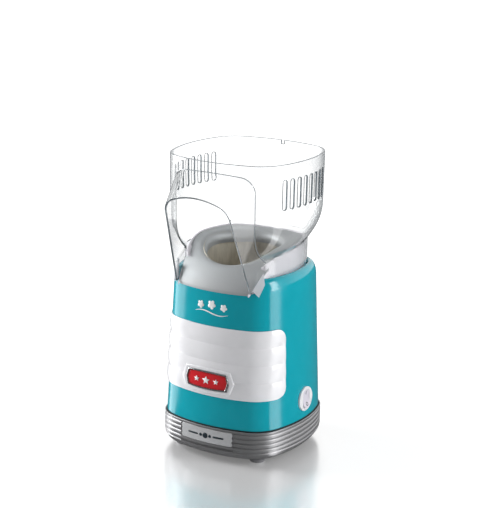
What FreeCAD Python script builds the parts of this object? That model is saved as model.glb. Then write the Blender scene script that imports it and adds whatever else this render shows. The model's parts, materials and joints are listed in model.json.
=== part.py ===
"""Hot-air popcorn maker: a crowned-square housing on a ribbed base, with a clear hood that lifts off.

Units are millimetres. +Z is up, the front with the chute is -Y, and the origin is on the surface it stands on,
under the housing's axis.
"""

import FreeCAD
import Part
import math
import os

V = FreeCAD.Vector
X_AXIS, Y_AXIS, Z_AXIS = V(1, 0, 0), V(0, 1, 0), V(0, 0, 1)

# --- driving sizes -------------------------------------------------------------------------------
OVERALL_H = 297.0        # surface to the hood's rim
BASE_HALF = 71.2         # half the width across the base's flats
BODY_FOOT_HALF = 69.3    # half the housing's width where it enters the base
BODY_HEAD_HALF = 63.8    # half the housing's width where its shoulder starts
HOOD_RIM_HALF = 68.4     # half the hood's width at its rim
HOOD_WAIST_HALF = 67.9   # and just above its taper
SKIRT_HALF = 55.0        # half the width of the skirt that drops into the housing

CORNER_CENTRE = 0.455    # corner arc's centre, as a share of the half width
CORNER_RADIUS = 0.474    # corner arc's radius, as a share of the half width

# --- heights -------------------------------------------------------------------------------------
FOOT_H = 5.0
RIB_FOOT_Z = 16.0        # where the base's ribs start
BASE_TOP_Z = 36.6
BODY_FOOT_Z = 34.5
SHOULDER_Z = 171.0
BODY_TOP_Z = 186.0
SEAT_Z = 180.5           # the hood's skirt stands at this height
TAPER_FOOT_Z = 207.5
TAPER_HEAD_Z = 243.5
TAPER_POWER = 2.3        # how quickly the taper fills out
TAPER_SLOPE_DEG = 6.5    # the hood's taper leans down towards the front

# --- walls and clearances ------------------------------------------------------------------------
BODY_WALL = 2.5
BASE_WALL = 3.0
HOOD_WALL = 2.0
SHEET = 1.5              # chute plate
CUP_WALL = 1.2           # popping chamber
FIT = 0.3                # between pieces that come apart
RUNNING = 0.05           # radial, shaft in bearing
SEATED = 0.1             # between pieces of one assembly that stand on each other
EPS = 0.01

# --- base ----------------------------------------------------------------------------------------
BASE_LIP = 1.2
LIP_FLOOR_Z = 33.6
SOLE_HALF = 61.0
RIB_PITCH = 4.65
RIB_COUNT = 5
RIB_TOP_DROP = 4.1       # from the base's top edge to its first groove
RIB_DEPTH = 1.2
RIB_GROOVE = 1.7         # half the groove's opening
PLATE_W, PLATE_H, PLATE_T = 61.0, 14.4, 1.0
PLATE_DROP = 3.6         # from the base's top edge to the name plate
FLOOR_T = 3.0
FLOOR_Z = 6.0
FOOT_R = 7.5
FOOT_AT = 43.0
FOOT_PEG_R = 2.4
POST_R = 4.6
POST_AT = 35.0
POST_TOP_Z = 50.0
SCREW_R = 1.6
SCREW_HEAD_R, SCREW_HEAD_H = 3.4, 2.0
VENT_W, VENT_PITCH, VENT_COUNT = 3.0, 7.0, 9

# --- front panel and badge -----------------------------------------------------------------------
PANEL_Z0, PANEL_Z1 = 66.5, 136.5
PANEL_SIDE_Y = -29.5
PANEL_CORNER = 12.0
PANEL_T = 1.4
PANEL_BANDS = 4
BAND_GROOVE = 0.8
BADGE_Z = 82.5
BADGE_HALF_W, BADGE_HALF_H = 28.5, 12.6
BADGE_POINT = 3.6        # how far the surround's ends are pointed
BADGE_PROUD = 3.2
FRAME_HALF_W, FRAME_HALF_H = 23.6, 9.2
RED_HALF_W, RED_HALF_H = 21.6, 7.6

# --- hood ----------------------------------------------------------------------------------------
SLOT_W, SLOT_Z0, SLOT_Z1 = 5.0, 253.0, 282.0
SLOT_PITCH, SLOT_COUNT = 10.4, 8
NOTCH_W, NOTCH_H = 3.0, 4.0
MOUTH_SILL_Z = 173.0     # top of the chute plate at its front edge
MOUTH_Y = -60.5          # mouth plane's place at the sill
MOUTH_LEAN = 0.38        # how far the mouth comes forward per millimetre of height
MOUTH_TOP_Z = 268.5
MOUTH_SILL_HALF, MOUTH_HEAD_HALF = 43.4, 35.0
MOUTH_CROWN = 5.0
MOUTH_CORNER = 17.0
ROOT_Y = -40.0           # the visor's inner end, inside the hood
ROOT_TOP_Z = 291.0
ROOT_SILL_HALF, ROOT_HEAD_HALF = 50.0, 50.0
NOTCH_HALF = ROOT_SILL_HALF + 2 * FIT  # half the gap in the housing's front for the chute
EAR_TURN_DEG = 42.0      # an ear's direction, from the front towards the side
EAR_T = 1.8

# --- chute plate and popping chamber --------------------------------------------------------------
CHUTE_TOP_Z = 209.0      # top face of the plate at the back
CHUTE_BEND_Y = 5.0       # the plate is flat behind this line and bends down in front of it
CHUTE_BEND_R = 83.5
COLLAR_RIM = 0.8         # how far the collar's wall stands above the plate
COLLAR_T = 1.4
LEDGE_W = 2.2
CUP_Y = -4.0             # the popping chamber's axis
CUP_R = 39.0
CUP_FLOOR_Z = 122.0
LOUVRE_COUNT = 18
LOUVRE_W, LOUVRE_H = 1.8, 13.0
LOUVRE_TURN_DEG = 28.0
LOUVRE_RISE = 12.0       # from the cup's floor to the slots' middle
COLLAR_FOOT_Z = 177.0

# --- switch --------------------------------------------------------------------------------------
SWITCH_Y, SWITCH_Z = 3.4, 55.5
SWITCH_BEZEL_R, SWITCH_BARREL_R = 12.4, 10.8
SWITCH_PROUD = 2.0
SWITCH_DEPTH = 14.0
ROCKER_HALF_W, ROCKER_R = 6.0, 9.2
ROCKER_GAP = 0.35
ROCKER_TILT_DEG = 8.0
ROCKER_PIN_R = 1.0

# --- heater, fan and motor -----------------------------------------------------------------------
CAN_R = 44.0
CAN_WALL = 0.8
CAN_TOP_Z = 160.0
FAN_HOUSE_Z0, FAN_HOUSE_Z1 = 58.0, 84.0
FAN_R, FAN_Z, FAN_BLADE_H, FAN_BLADES = 36.0, 64.0, 12.0, 14
MOTOR_R, MOTOR_Z0 = 18.0, 24.0
SHAFT_R = 1.6
COIL_R, COIL_WIRE_R = 28.0, 1.4
GLAND_Z, GLAND_R, GLAND_BORE_R = 24.4, 6.5, 3.6
FAN_POST_X, FAN_POST_Y, FAN_POST_R = 40.0, 20.0, 3.5
INLET_R, INLET_AT, INLET_COUNT = 6.0, 27.0, 6
FAN_DISC_T, BLADE_T, BLADE_ROOT_R, BLADE_TURN_DEG = 1.5, 1.2, 13.0, 16.0
MOTOR_WALL, MOTOR_BOSS_R = 1.2, 5.0
MAGNET_T, MAGNET_HALF_W = 3.3, 11.0
ROTOR_SLOTS, ROTOR_SLOT_W = 5, 2.8
MOTOR_SCREW_AT, MOTOR_SCREW_R, MOTOR_SCREW_HEAD_R = 10.0, 1.2, 2.4
BOARD_R, BOARD_T, BOARD_LEG_AT = 15.0, 1.6, 11.0
DIODE_R, DIODE_L = 1.3, 5.0
MICA_Z0, MICA_Z1, MICA_T = 88.0, 116.0, 1.0
COIL_HEIGHTS = (92.0, 98.0, 106.0, 112.0)
COIL_RADII = (COIL_R - 12, COIL_R, COIL_R + 11)
THERMOSTAT_Z, THERMOSTAT_R = 153.0, 7.0
TERMINAL_PITCH, TERMINAL_W, TERMINAL_T, TERMINAL_L = 6.0, 4.8, 0.8, 6.0


# --- outline and solids built on it --------------------------------------------------------------
def outline(half, z, offset=0.0, tilt=0.0):
    """Closed wire of a crowned square: four shallow face arcs and four corner arcs, tangent to each other."""
    centre = CORNER_CENTRE * half
    corner = CORNER_RADIUS * half
    reach = half - centre
    face = (centre ** 2 + reach ** 2 - corner ** 2) / (2 * (reach - corner))
    corner += offset
    lean = math.atan2(centre, face - reach)
    face_centre = half - face
    face += offset
    edges = []
    for turn in range(4):
        spin = FreeCAD.Rotation(Z_AXIS, 90.0 * turn)

        def at(cx, cy, radius, angle):
            return spin.multVec(V(cx + radius * math.sin(angle), cy + radius * math.cos(angle), z))

        start, mid, end = (at(0, face_centre, face, a) for a in (-lean, 0, lean))
        edges.append(Part.Arc(start, mid, end).toShape())
        turned = math.pi / 2 - lean
        corner_mid = at(centre, centre, corner, math.pi / 4)
        edges.insert(-1, Part.Arc(end, corner_mid, at(centre, centre, corner, turned)).toShape())
    wire = Part.Wire(Part.__sortEdges__(edges))
    if tilt:
        wire.rotate(V(0, 0, z), X_AXIS, tilt)
    return wire


def loft(sections):
    """Solid through outlines given as (half, z, offset) or (half, z, offset, tilt), straight between them."""
    return Part.makeLoft([outline(*s) for s in sections], True, True)


def slab(half, z0, z1, offset=0.0):
    return Part.Face(outline(half, z0, offset)).extrude(V(0, 0, z1 - z0))


def box(x0, x1, y0, y1, z0, z1):
    return Part.makeBox(x1 - x0, y1 - y0, z1 - z0, V(x0, y0, z0))


def tube(outer, inner, z0, z1, x=0.0, y=0.0):
    solid = Part.makeCylinder(outer, z1 - z0, V(x, y, z0))
    return solid.cut(Part.makeCylinder(inner, z1 - z0 + 2, V(x, y, z0 - 1)))


def polygon(points, along):
    """Prism of a flat polygon, extruded by the vector along."""
    return Part.Face(Part.makePolygon(points + points[:1])).extrude(along)


def fused(solids):
    solids = list(solids)
    whole = solids[0].multiFuse(solids[1:]) if len(solids) > 1 else solids[0]
    return whole.removeSplitter()


def body_half(z):
    share = (z - BODY_FOOT_Z) / (SHOULDER_Z - BODY_FOOT_Z)
    return BODY_FOOT_HALF + (BODY_HEAD_HALF - BODY_FOOT_HALF) * share


def body_band(inner, outer, z0, z1):
    """Ring that follows the housing's tapered wall between two offsets from its outer face."""
    skin = loft([(body_half(z0), z0, outer), (body_half(z1), z1, outer)])
    core = loft([(body_half(z0 - 1), z0 - 1, inner), (body_half(z1 + 1), z1 + 1, inner)])
    return skin.cut(core)


def corners(at):
    return [(sx * at, sy * at) for sy in (-1, 1) for sx in (-1, 1)]


# --- base ----------------------------------------------------------------------------------------
def base_outer():
    bowl_sections = []
    steps = 6
    for i in range(steps + 1):
        angle = math.pi / 2 * i / steps
        half = SOLE_HALF + (BASE_HALF - SOLE_HALF) * math.sin(angle)
        z = FOOT_H + (RIB_FOOT_Z - FOOT_H) * (1 - math.cos(angle))
        bowl_sections.append((half, z, 0.0))
    lower = loft(bowl_sections)
    upper = slab(BASE_HALF, RIB_FOOT_Z, BASE_TOP_Z)
    return fused([lower, upper])


def rib_groove(z):
    """V-shaped ring cut into the base's side, stopping at the name plate."""
    ring = slab(BASE_HALF, z - RIB_GROOVE, z + RIB_GROOVE, 2.0)
    keep = loft([(BASE_HALF, z - RIB_GROOVE, 0), (BASE_HALF, z, -RIB_DEPTH), (BASE_HALF, z + RIB_GROOVE, 0)])
    plate_gap = box(-PLATE_W / 2, PLATE_W / 2, -2 * BASE_HALF, 0, 0, BASE_TOP_Z)
    return ring.cut(keep).cut(plate_gap)


def plate_space(extra):
    """Curved slab that the name plate fills, let into the base's front."""
    z_mid = BASE_TOP_Z - PLATE_DROP - PLATE_H / 2
    z0, z1 = z_mid - PLATE_H / 2 - extra, z_mid + PLATE_H / 2 + extra
    skin = slab(BASE_HALF, z0, z1, 0.1).cut(slab(BASE_HALF, z0 - 1, z1 + 1, -PLATE_T - extra))
    return skin.common(box(-PLATE_W / 2 - extra, PLATE_W / 2 + extra, -2 * BASE_HALF, 0, z0, z1))


def gland_cutter(radius, reach=30.0):
    return Part.makeCylinder(radius, reach, V(0, BASE_HALF - reach / 2, GLAND_Z), Y_AXIS)


def base_skirt():
    cavity = slab(BASE_HALF, RIB_FOOT_Z, LIP_FLOOR_Z, -BASE_WALL)
    floor_seat = slab(SOLE_HALF, FLOOR_Z, RIB_FOOT_Z, -BASE_WALL)
    mouth = slab(BASE_HALF, LIP_FLOOR_Z, BASE_TOP_Z + 1, -BASE_LIP)
    sole = slab(SOLE_HALF, FOOT_H - 1, FLOOR_Z, -2 * BASE_WALL)
    skirt = base_outer().cut(fused([cavity, floor_seat])).cut(mouth).cut(sole)
    for i in range(RIB_COUNT):
        skirt = skirt.cut(rib_groove(BASE_TOP_Z - RIB_TOP_DROP - i * RIB_PITCH))
    return skirt.cut(plate_space(SEATED)).cut(gland_cutter(GLAND_R)).cut(foot_holes())


def base_floor():
    """Bottom cover with air intake slots, four fixing holes and four posts that carry the fan housing."""
    plate = slab(SOLE_HALF, FLOOR_Z, FLOOR_Z + FLOOR_T, -BASE_WALL - FIT)
    for x, y in corners(POST_AT):
        plate = plate.cut(Part.makeCylinder(SCREW_R + 0.2, 20, V(x, y, 0)))
        plate = plate.cut(Part.makeCylinder(SCREW_HEAD_R + 0.2, SCREW_HEAD_H, V(x, y, FLOOR_Z)))
    for i in range(VENT_COUNT):
        x = (i - (VENT_COUNT - 1) / 2) * VENT_PITCH
        plate = plate.cut(box(x - VENT_W / 2, x + VENT_W / 2, -24, 24, 0, 20))
    posts = [tube(FAN_POST_R, SCREW_R, FLOOR_Z + FLOOR_T, FAN_HOUSE_Z0, x, y) for x, y in fan_posts()]
    return fused([plate] + posts).cut(foot_holes())


def foot_holes():
    return Part.makeCompound([Part.makeCylinder(FOOT_PEG_R + RUNNING, 10, V(x, y, FOOT_H - 1))
                              for x, y in corners(FOOT_AT)])


def fan_posts():
    return [(sx * FAN_POST_X, sy * FAN_POST_Y) for sy in (-1, 1) for sx in (-1, 1)]


def name_plate():
    return plate_space(0.0)


def seam_gasket():
    ring = slab(BASE_HALF, LIP_FLOOR_Z + SEATED, BASE_TOP_Z - 1.0, -BASE_LIP - SEATED)
    bore = slab(BASE_HALF, LIP_FLOOR_Z, BODY_FOOT_Z, -BASE_WALL - 0.5)
    return ring.cut(loft([(body_half(z), z, SEATED) for z in (BODY_FOOT_Z - SEATED, BASE_TOP_Z)])).cut(bore)


def foot(x, y):
    disc = Part.makeCylinder(FOOT_R, FOOT_H, V(x, y, 0))
    disc = disc.makeFillet(1.2, [e for e in disc.Edges if e.BoundBox.ZMax < EPS])
    peg = Part.makeCylinder(FOOT_PEG_R, FLOOR_Z + FLOOR_T - FOOT_H + 1, V(x, y, FOOT_H))
    return disc.fuse(peg)


# --- housing -------------------------------------------------------------------------------------
def shoulder_sections(offset):
    rise = BODY_TOP_Z - SHOULDER_Z
    inset = BODY_HEAD_HALF - SKIRT_HALF - 1.0
    steps = 6
    rows = []
    for i in range(steps + 1):
        angle = math.pi / 2 * i / steps
        rows.append((BODY_HEAD_HALF - inset * (1 - math.cos(angle)), SHOULDER_Z + rise * math.sin(angle), offset))
    return rows


def body_solid(offset, foot_z, top_drop):
    rows = [(body_half(foot_z), foot_z, offset)]
    for half, z, off in shoulder_sections(offset):
        rows.append((half, z - top_drop, off))
    return loft(rows)


def body_shell():
    shell = body_solid(0.0, BODY_FOOT_Z, 0.0).cut(body_solid(-BODY_WALL, BODY_FOOT_Z - EPS, BODY_WALL))
    shell = shell.cut(slab(SKIRT_HALF, SHOULDER_Z, BODY_TOP_Z + 1, FIT))
    sill = MOUTH_SILL_Z - FIT
    shell = shell.cut(box(-NOTCH_HALF, NOTCH_HALF, -2 * BODY_FOOT_HALF, -36, sill, BODY_TOP_Z + 1))
    shell = shell.cut(Part.makeCylinder(SWITCH_BARREL_R + FIT, 40, V(40, SWITCH_Y, SWITCH_Z), X_AXIS))
    shell = shell.cut(Part.makeCylinder(SWITCH_BEZEL_R + FIT, 10, V(switch_x(), SWITCH_Y, SWITCH_Z), X_AXIS))
    posts = []
    for x, y in corners(POST_AT):
        column = tube(POST_R, SCREW_R - 0.2, FLOOR_Z + FLOOR_T, POST_TOP_Z, x, y)
        rib = box(0, 40, -1, 1, BODY_FOOT_Z + 4, POST_TOP_Z)
        rib.rotate(V(0, 0, 0), Z_AXIS, math.degrees(math.atan2(y, x)))
        rib.translate(V(x, y, 0))
        rib = rib.cut(Part.makeCylinder(POST_R - 0.5, 60, V(x, y, 0)))
        inside = loft([(body_half(z), z, -EPS - BODY_WALL / 2) for z in (BODY_FOOT_Z + 3, POST_TOP_Z + 1)])
        posts += [column, rib.common(inside)]
    return fused([shell] + posts)


def window(z0, z1, corner, side_y):
    """Panel's shape seen from the side, swept across the whole width: open at the front, rounded behind."""
    front = -2 * BODY_FOOT_HALF
    x0 = -2 * BODY_FOOT_HALF
    block = box(x0, -x0, front, side_y, z0, z1)
    edges = [e for e in block.Edges
             if abs(e.BoundBox.YMin - side_y) < EPS and abs(e.BoundBox.YMax - side_y) < EPS
             and e.BoundBox.XLength > 1]
    return block.makeFillet(corner, edges)


def badge_prism(half_w, half_h, point, depth=80.0):
    """Six-sided badge outline with shallow pointed ends, as a prism that runs front to back."""
    y = -BODY_FOOT_HALF - 10
    rows = [V(-half_w, y, 0), V(-half_w + point, y, half_h), V(half_w - point, y, half_h), V(half_w, y, 0),
            V(half_w - point, y, -half_h), V(-half_w + point, y, -half_h)]
    solid = polygon(rows, V(0, depth, 0))
    solid = solid.makeFillet(2.0, [e for e in solid.Edges if e.BoundBox.YLength > 1])
    solid.translate(V(0, 0, BADGE_Z))
    return solid


def front_panel():
    """White wrap with four shallow convex bands and a raised surround for the badge."""
    height = (PANEL_Z1 - PANEL_Z0) / PANEL_BANDS
    bands = []
    for i in range(PANEL_BANDS):
        z0 = PANEL_Z0 + i * height
        rows = []
        steps = 4
        for k in range(steps + 1):
            t = k / steps
            z = z0 + height * t
            rows.append((body_half(z), z, PANEL_T - BAND_GROOVE * (2 * t - 1) ** 2))
        bands.append(loft(rows))
    skin = bands[0].multiFuse(bands[1:])
    core = loft([(body_half(z), z, SEATED) for z in (PANEL_Z0 - 1, PANEL_Z1 + 1)])
    wrap = skin.cut(core).common(window(PANEL_Z0, PANEL_Z1, PANEL_CORNER, PANEL_SIDE_Y))
    low, high = BADGE_Z - BADGE_HALF_H - 1, BADGE_Z + BADGE_HALF_H + 1
    boss = body_band(SEATED, BADGE_PROUD, low, high).common(badge_prism(BADGE_HALF_W, BADGE_HALF_H, BADGE_POINT))
    pocket = body_band(1.0, BADGE_PROUD + 2, low, high).common(
        badge_prism(FRAME_HALF_W + 0.2, FRAME_HALF_H + 0.2, 2.0))
    return fused([wrap, boss]).cut(pocket)


def badge_piece(half_w, half_h, inner, outer):
    low, high = BADGE_Z - half_h - 1, BADGE_Z + half_h + 1
    return body_band(inner, outer, low, high).common(badge_prism(half_w, half_h, 2.0))


def badge_frame():
    frame = badge_piece(FRAME_HALF_W, FRAME_HALF_H, 1.0 + SEATED, BADGE_PROUD + 0.6)
    return frame.cut(badge_piece(RED_HALF_W + 0.1, RED_HALF_H + 0.1, 0.5, BADGE_PROUD + 2))


def badge_insert():
    return badge_piece(RED_HALF_W, RED_HALF_H, 1.0 + SEATED, BADGE_PROUD + 0.1)


def cord_gland():
    """Flanged bush in the base's back wall, with the bore that a mains lead leaves through."""
    wall_in = BASE_HALF - BASE_WALL
    barrel = Part.makeCylinder(GLAND_R - 0.1, BASE_WALL + 6, V(0, wall_in - 4, GLAND_Z), Y_AXIS)
    flange = Part.makeCylinder(GLAND_R + 2, 2.0, V(0, BASE_HALF + 0.1, GLAND_Z), Y_AXIS)
    inner = Part.makeCylinder(GLAND_R + 1.5, 1.6, V(0, wall_in - 4, GLAND_Z), Y_AXIS)
    bore = Part.makeCylinder(GLAND_BORE_R, 40, V(0, wall_in - 20, GLAND_Z), Y_AXIS)
    return fused([barrel, flange, inner]).cut(bore)


# --- chute plate, chamber and collar -------------------------------------------------------------
def below_chute(drop):
    """Everything under a sheet that is flat at the back and bends down to the front, drop below the plate's top."""
    top, radius = CHUTE_TOP_Z - drop, CHUTE_BEND_R - drop
    x, front, back = -90.0, -70.0, 90.0

    def on_bend(y):
        return V(x, y, top - radius + math.sqrt(radius ** 2 - (CHUTE_BEND_Y - y) ** 2))

    start, end = on_bend(front), V(x, CHUTE_BEND_Y, top)
    bend = Part.Arc(start, on_bend((front + CHUTE_BEND_Y) / 2), end).toShape()
    rest = Part.makePolygon([end, V(x, back, top), V(x, back, 0), V(x, front, 0), start])
    return Part.Face(Part.Wire([bend] + rest.Edges)).extrude(V(-2 * x, 0, 0))


def chute_plan():
    """The plate's shape from above: it fills the skirt, and runs out through the mouth to the housing's front."""
    round_part = slab(SKIRT_HALF, 150, 230, -HOOD_WALL - FIT - COLLAR_T - SEATED)
    sill = MOUTH_SILL_HALF - HOOD_WALL - FIT
    tongue = box(-sill, sill, -2 * BODY_HEAD_HALF, -25, 150, 230)
    return round_part.fuse(tongue.common(slab(body_half(MOUTH_SILL_Z), 150, 230, -SHEET)))


def chute_plate():
    plate = chute_plan().common(below_chute(0.0)).cut(below_chute(SHEET))
    return plate.cut(Part.makeCylinder(CUP_R, 90, V(0, CUP_Y, 150)))


def chamber():
    """Aluminium popping cup: straight wall, domed floor and a ring of slanted air slots."""
    outer = Part.makeCylinder(CUP_R + CUP_WALL, 110, V(0, CUP_Y, CUP_FLOOR_Z))
    inner = Part.makeCylinder(CUP_R, 110, V(0, CUP_Y, CUP_FLOOR_Z + CUP_WALL))
    cone = Part.makeCone(CUP_R - 9, 4, 14, V(0, CUP_Y, CUP_FLOOR_Z + CUP_WALL))
    cup = outer.cut(inner.cut(cone))
    for i in range(LOUVRE_COUNT):
        slot = box(CUP_R - 3, CUP_R + 4, -LOUVRE_W / 2, LOUVRE_W / 2, -LOUVRE_H / 2, LOUVRE_H / 2)
        slot.rotate(V(0, 0, 0), X_AXIS, LOUVRE_TURN_DEG)
        slot.translate(V(0, 0, CUP_FLOOR_Z + LOUVRE_RISE))
        slot.rotate(V(0, 0, 0), Z_AXIS, 360.0 * i / LOUVRE_COUNT)
        slot.translate(V(0, CUP_Y, 0))
        cup = cup.cut(slot)
    return cup.common(below_chute(SHEET + SEATED))


def collar():
    """Pale ring inside the hood's skirt: a rim and a ledge hold the chute plate, a foot carries the hood."""
    inner = -HOOD_WALL - FIT - COLLAR_T
    wall = slab(SKIRT_HALF, COLLAR_FOOT_Z, 230, inner + COLLAR_T).cut(slab(SKIRT_HALF, COLLAR_FOOT_Z - 1, 231, inner))
    ledge = slab(SKIRT_HALF, COLLAR_FOOT_Z, 230, inner + EPS).cut(
        slab(SKIRT_HALF, COLLAR_FOOT_Z - 1, 231, inner - LEDGE_W))
    seat = slab(body_half(COLLAR_FOOT_Z) - 6.0, COLLAR_FOOT_Z, SEAT_Z - FIT)
    seat = seat.cut(slab(SKIRT_HALF, COLLAR_FOOT_Z - 1, SEAT_Z + 1, inner))
    seat = seat.common(body_solid(-BODY_WALL - FIT, BODY_FOOT_Z, BODY_WALL))
    ring = fused([wall.common(below_chute(-COLLAR_RIM)), ledge.common(below_chute(SHEET + SEATED)), seat])
    gap = box(-NOTCH_HALF, NOTCH_HALF, -2 * BODY_FOOT_HALF, ROOT_Y + 1, 150, 240)
    return ring.cut(gap)


# --- hood ----------------------------------------------------------------------------------------
def taper_sections(offset):
    steps = 6
    rows = []
    for i in range(steps + 1):
        share = i / steps
        half = HOOD_WAIST_HALF - (HOOD_WAIST_HALF - SKIRT_HALF) * (1 - share) ** TAPER_POWER
        z = TAPER_FOOT_Z + (TAPER_HEAD_Z - TAPER_FOOT_Z) * share
        rows.append((half, z, offset, TAPER_SLOPE_DEG))
    return rows


def hood_solid(offset, foot_z, top_z):
    rows = [(SKIRT_HALF, foot_z, offset)] + taper_sections(offset)
    rows.append((HOOD_RIM_HALF, top_z, offset))
    return loft(rows)


def arch_wire(y_of_z, sill_z, top_z, sill_half, head_half, corner, crown):
    """Arch outline: straight legs that lean in, round corners and a crowned top."""
    shoulder_z = top_z - crown - corner
    bend = corner * (1 - math.sqrt(0.5))

    def at(x, z):
        return V(x, y_of_z(z), z)

    left_foot, right_foot = at(-sill_half, sill_z), at(sill_half, sill_z)
    left, right = at(-head_half, shoulder_z), at(head_half, shoulder_z)
    tip_z = top_z - crown
    left_tip, right_tip = at(-head_half + corner, tip_z), at(head_half - corner, tip_z)
    left_mid, right_mid = at(-head_half + bend, tip_z - bend), at(head_half - bend, tip_z - bend)
    return Part.Wire([
        Part.makeLine(left_foot, left), Part.Arc(left, left_mid, left_tip).toShape(),
        Part.Arc(left_tip, at(0, top_z), right_tip).toShape(), Part.Arc(right_tip, right_mid, right).toShape(),
        Part.makeLine(right, right_foot), Part.makeLine(right_foot, left_foot)])


def mouth_y(z):
    return MOUTH_Y - MOUTH_LEAN * (z - MOUTH_SILL_Z)


def visor_solid(offset, past):
    """Loft from an upright arch inside the hood to the leaning arch of the mouth; past runs it on forwards."""
    sill = MOUTH_SILL_Z - 1.0 if offset == 0 else MOUTH_SILL_Z - 3.0
    root = arch_wire(lambda z: ROOT_Y, sill, ROOT_TOP_Z + offset, ROOT_SILL_HALF + offset, ROOT_HEAD_HALF + offset,
                     MOUTH_CORNER + offset, MOUTH_CROWN)
    mouth = arch_wire(mouth_y, sill, MOUTH_TOP_Z + offset, MOUTH_SILL_HALF + offset, MOUTH_HEAD_HALF + offset,
                      MOUTH_CORNER + offset, MOUTH_CROWN)
    solid = Part.makeLoft([root, mouth], True, True)
    if past:
        ahead = arch_wire(lambda z: mouth_y(z) - past, sill, MOUTH_TOP_Z + offset, MOUTH_SILL_HALF + offset,
                          MOUTH_HEAD_HALF + offset, MOUTH_CORNER + offset, MOUTH_CROWN)
        solid = solid.fuse(Part.makeLoft([mouth, ahead], True, True))
    return solid


def shoulder_half(z):
    """Half the housing's width at a height on its rounded shoulder."""
    share = min(max((z - SHOULDER_Z) / (BODY_TOP_Z - SHOULDER_Z), 0.0), 1.0)
    return BODY_HEAD_HALF - (BODY_HEAD_HALF - SKIRT_HALF - 1.0) * (1 - math.sqrt(1 - share ** 2))


def ear(side):
    """Flat kite-shaped lug at a front corner: it hangs from the visor's wall outside the housing's shoulder."""
    outward = FreeCAD.Rotation(Z_AXIS, EAR_TURN_DEG * side).multVec(V(0, -1, 0))
    across = V(-outward.y, outward.x, 0) * side
    corner_reach = CORNER_CENTRE * math.sqrt(2) + CORNER_RADIUS

    def at(along, z):
        return outward * (shoulder_half(z) * corner_reach + 2 * FIT) + across * along + V(0, 0, z)

    foot, tip, back = at(-7.5, MOUTH_SILL_Z + 3.5), at(-0.9, MOUTH_SILL_Z - 2.7), at(5.0, MOUTH_SILL_Z + 8.6)
    apex = tip + (back - tip) * 1.58 + (foot - tip) * 0.7
    return polygon([foot, tip, back, apex], outward * EAR_T)


def hood():
    visor_room = box(-60, 60, -2 * BASE_HALF, ROOT_Y + EPS, MOUTH_SILL_Z + 0.5, OVERALL_H)
    shell = hood_solid(0.0, SEAT_Z, OVERALL_H)
    visor = visor_solid(0.0, 0.0).common(visor_room)
    inside = hood_solid(-HOOD_WALL, SEAT_Z - 1, OVERALL_H + 1)
    whole = fused([shell, visor, ear(1), ear(-1)]).cut(inside).cut(visor_solid(-HOOD_WALL, 20.0))
    for i in range(SLOT_COUNT):
        y = (i - (SLOT_COUNT - 1) / 2) * SLOT_PITCH
        half = SLOT_W / 2
        straight = box(-100, 100, y - half, y + half, SLOT_Z0 + half, SLOT_Z1 - half)
        ends = [Part.makeCylinder(half, 200, V(-100, y, z), X_AXIS) for z in (SLOT_Z0 + half, SLOT_Z1 - half)]
        whole = whole.cut(straight.multiFuse(ends))
    notch = box(-NOTCH_W / 2, NOTCH_W / 2, 40, 100, OVERALL_H - NOTCH_H, OVERALL_H + 1)
    return whole.cut(notch)


# --- switch --------------------------------------------------------------------------------------
def switch_x():
    return body_half(SWITCH_Z)


def rocker_pivot():
    return V(switch_x() - 1.0, SWITCH_Y, SWITCH_Z)


def rocker_block(grow, tilt):
    """Round rocker with flat sides: a dished outer face, a rounded underside, turned by tilt about its pin."""
    length, half_w = ROCKER_R + grow, ROCKER_HALF_W + grow
    top, root = 4.4 + grow, -1.5 - grow
    outer = Part.Arc(V(top, -half_w, -length), V(top - 2.0, -half_w, 0), V(top, -half_w, length)).toShape()
    under = Part.Arc(V(root, -half_w, length), V(root - 5.0, -half_w, 0), V(root, -half_w, -length)).toShape()
    edges = [outer, Part.makeLine(V(top, -half_w, length), V(root, -half_w, length)), under,
             Part.makeLine(V(root, -half_w, -length), V(top, -half_w, -length))]
    block = Part.Face(Part.Wire(edges)).extrude(V(0, 2 * half_w, 0))
    block = block.common(Part.makeCylinder(length, 30, V(-15, 0, 0), X_AXIS))
    block.rotate(V(0, 0, 0), Y_AXIS, tilt)
    block.translate(rocker_pivot())
    return block


def rocker_button():
    pivot = rocker_pivot()
    pin = Part.makeCylinder(ROCKER_PIN_R, 2 * (ROCKER_HALF_W + 1.4),
                            V(pivot.x, pivot.y - ROCKER_HALF_W - 1.4, pivot.z), Y_AXIS)
    return rocker_block(0.0, -ROCKER_TILT_DEG).fuse(pin)


def switch_housing():
    face = switch_x()
    bezel = Part.makeCylinder(SWITCH_BEZEL_R, SWITCH_PROUD, V(face + 0.1, SWITCH_Y, SWITCH_Z), X_AXIS)
    bezel = bezel.makeFillet(0.9, [e for e in bezel.Edges if e.BoundBox.XMin > face + SWITCH_PROUD])
    barrel = Part.makeCylinder(SWITCH_BARREL_R, SWITCH_DEPTH + 0.1, V(face - SWITCH_DEPTH, SWITCH_Y, SWITCH_Z), X_AXIS)
    cavity = fused([rocker_block(ROCKER_GAP, t) for t in (-ROCKER_TILT_DEG, 0.0, ROCKER_TILT_DEG)])
    well = Part.makeCylinder(ROCKER_R + 2 * ROCKER_GAP, 10, V(face, SWITCH_Y, SWITCH_Z), X_AXIS)
    front = well.common(box(face, face + 10, SWITCH_Y - ROCKER_HALF_W - ROCKER_GAP,
                            SWITCH_Y + ROCKER_HALF_W + ROCKER_GAP, 0, 2 * SWITCH_Z))
    pivot = rocker_pivot()
    seat = Part.makeCylinder(ROCKER_PIN_R + RUNNING, 2 * (ROCKER_HALF_W + 1.6),
                             V(pivot.x, pivot.y - ROCKER_HALF_W - 1.6, pivot.z), Y_AXIS)
    return fused([bezel, barrel]).cut(cavity.common(box(0, 200, -100, 100, 0, 200))).cut(front).cut(seat)


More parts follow.
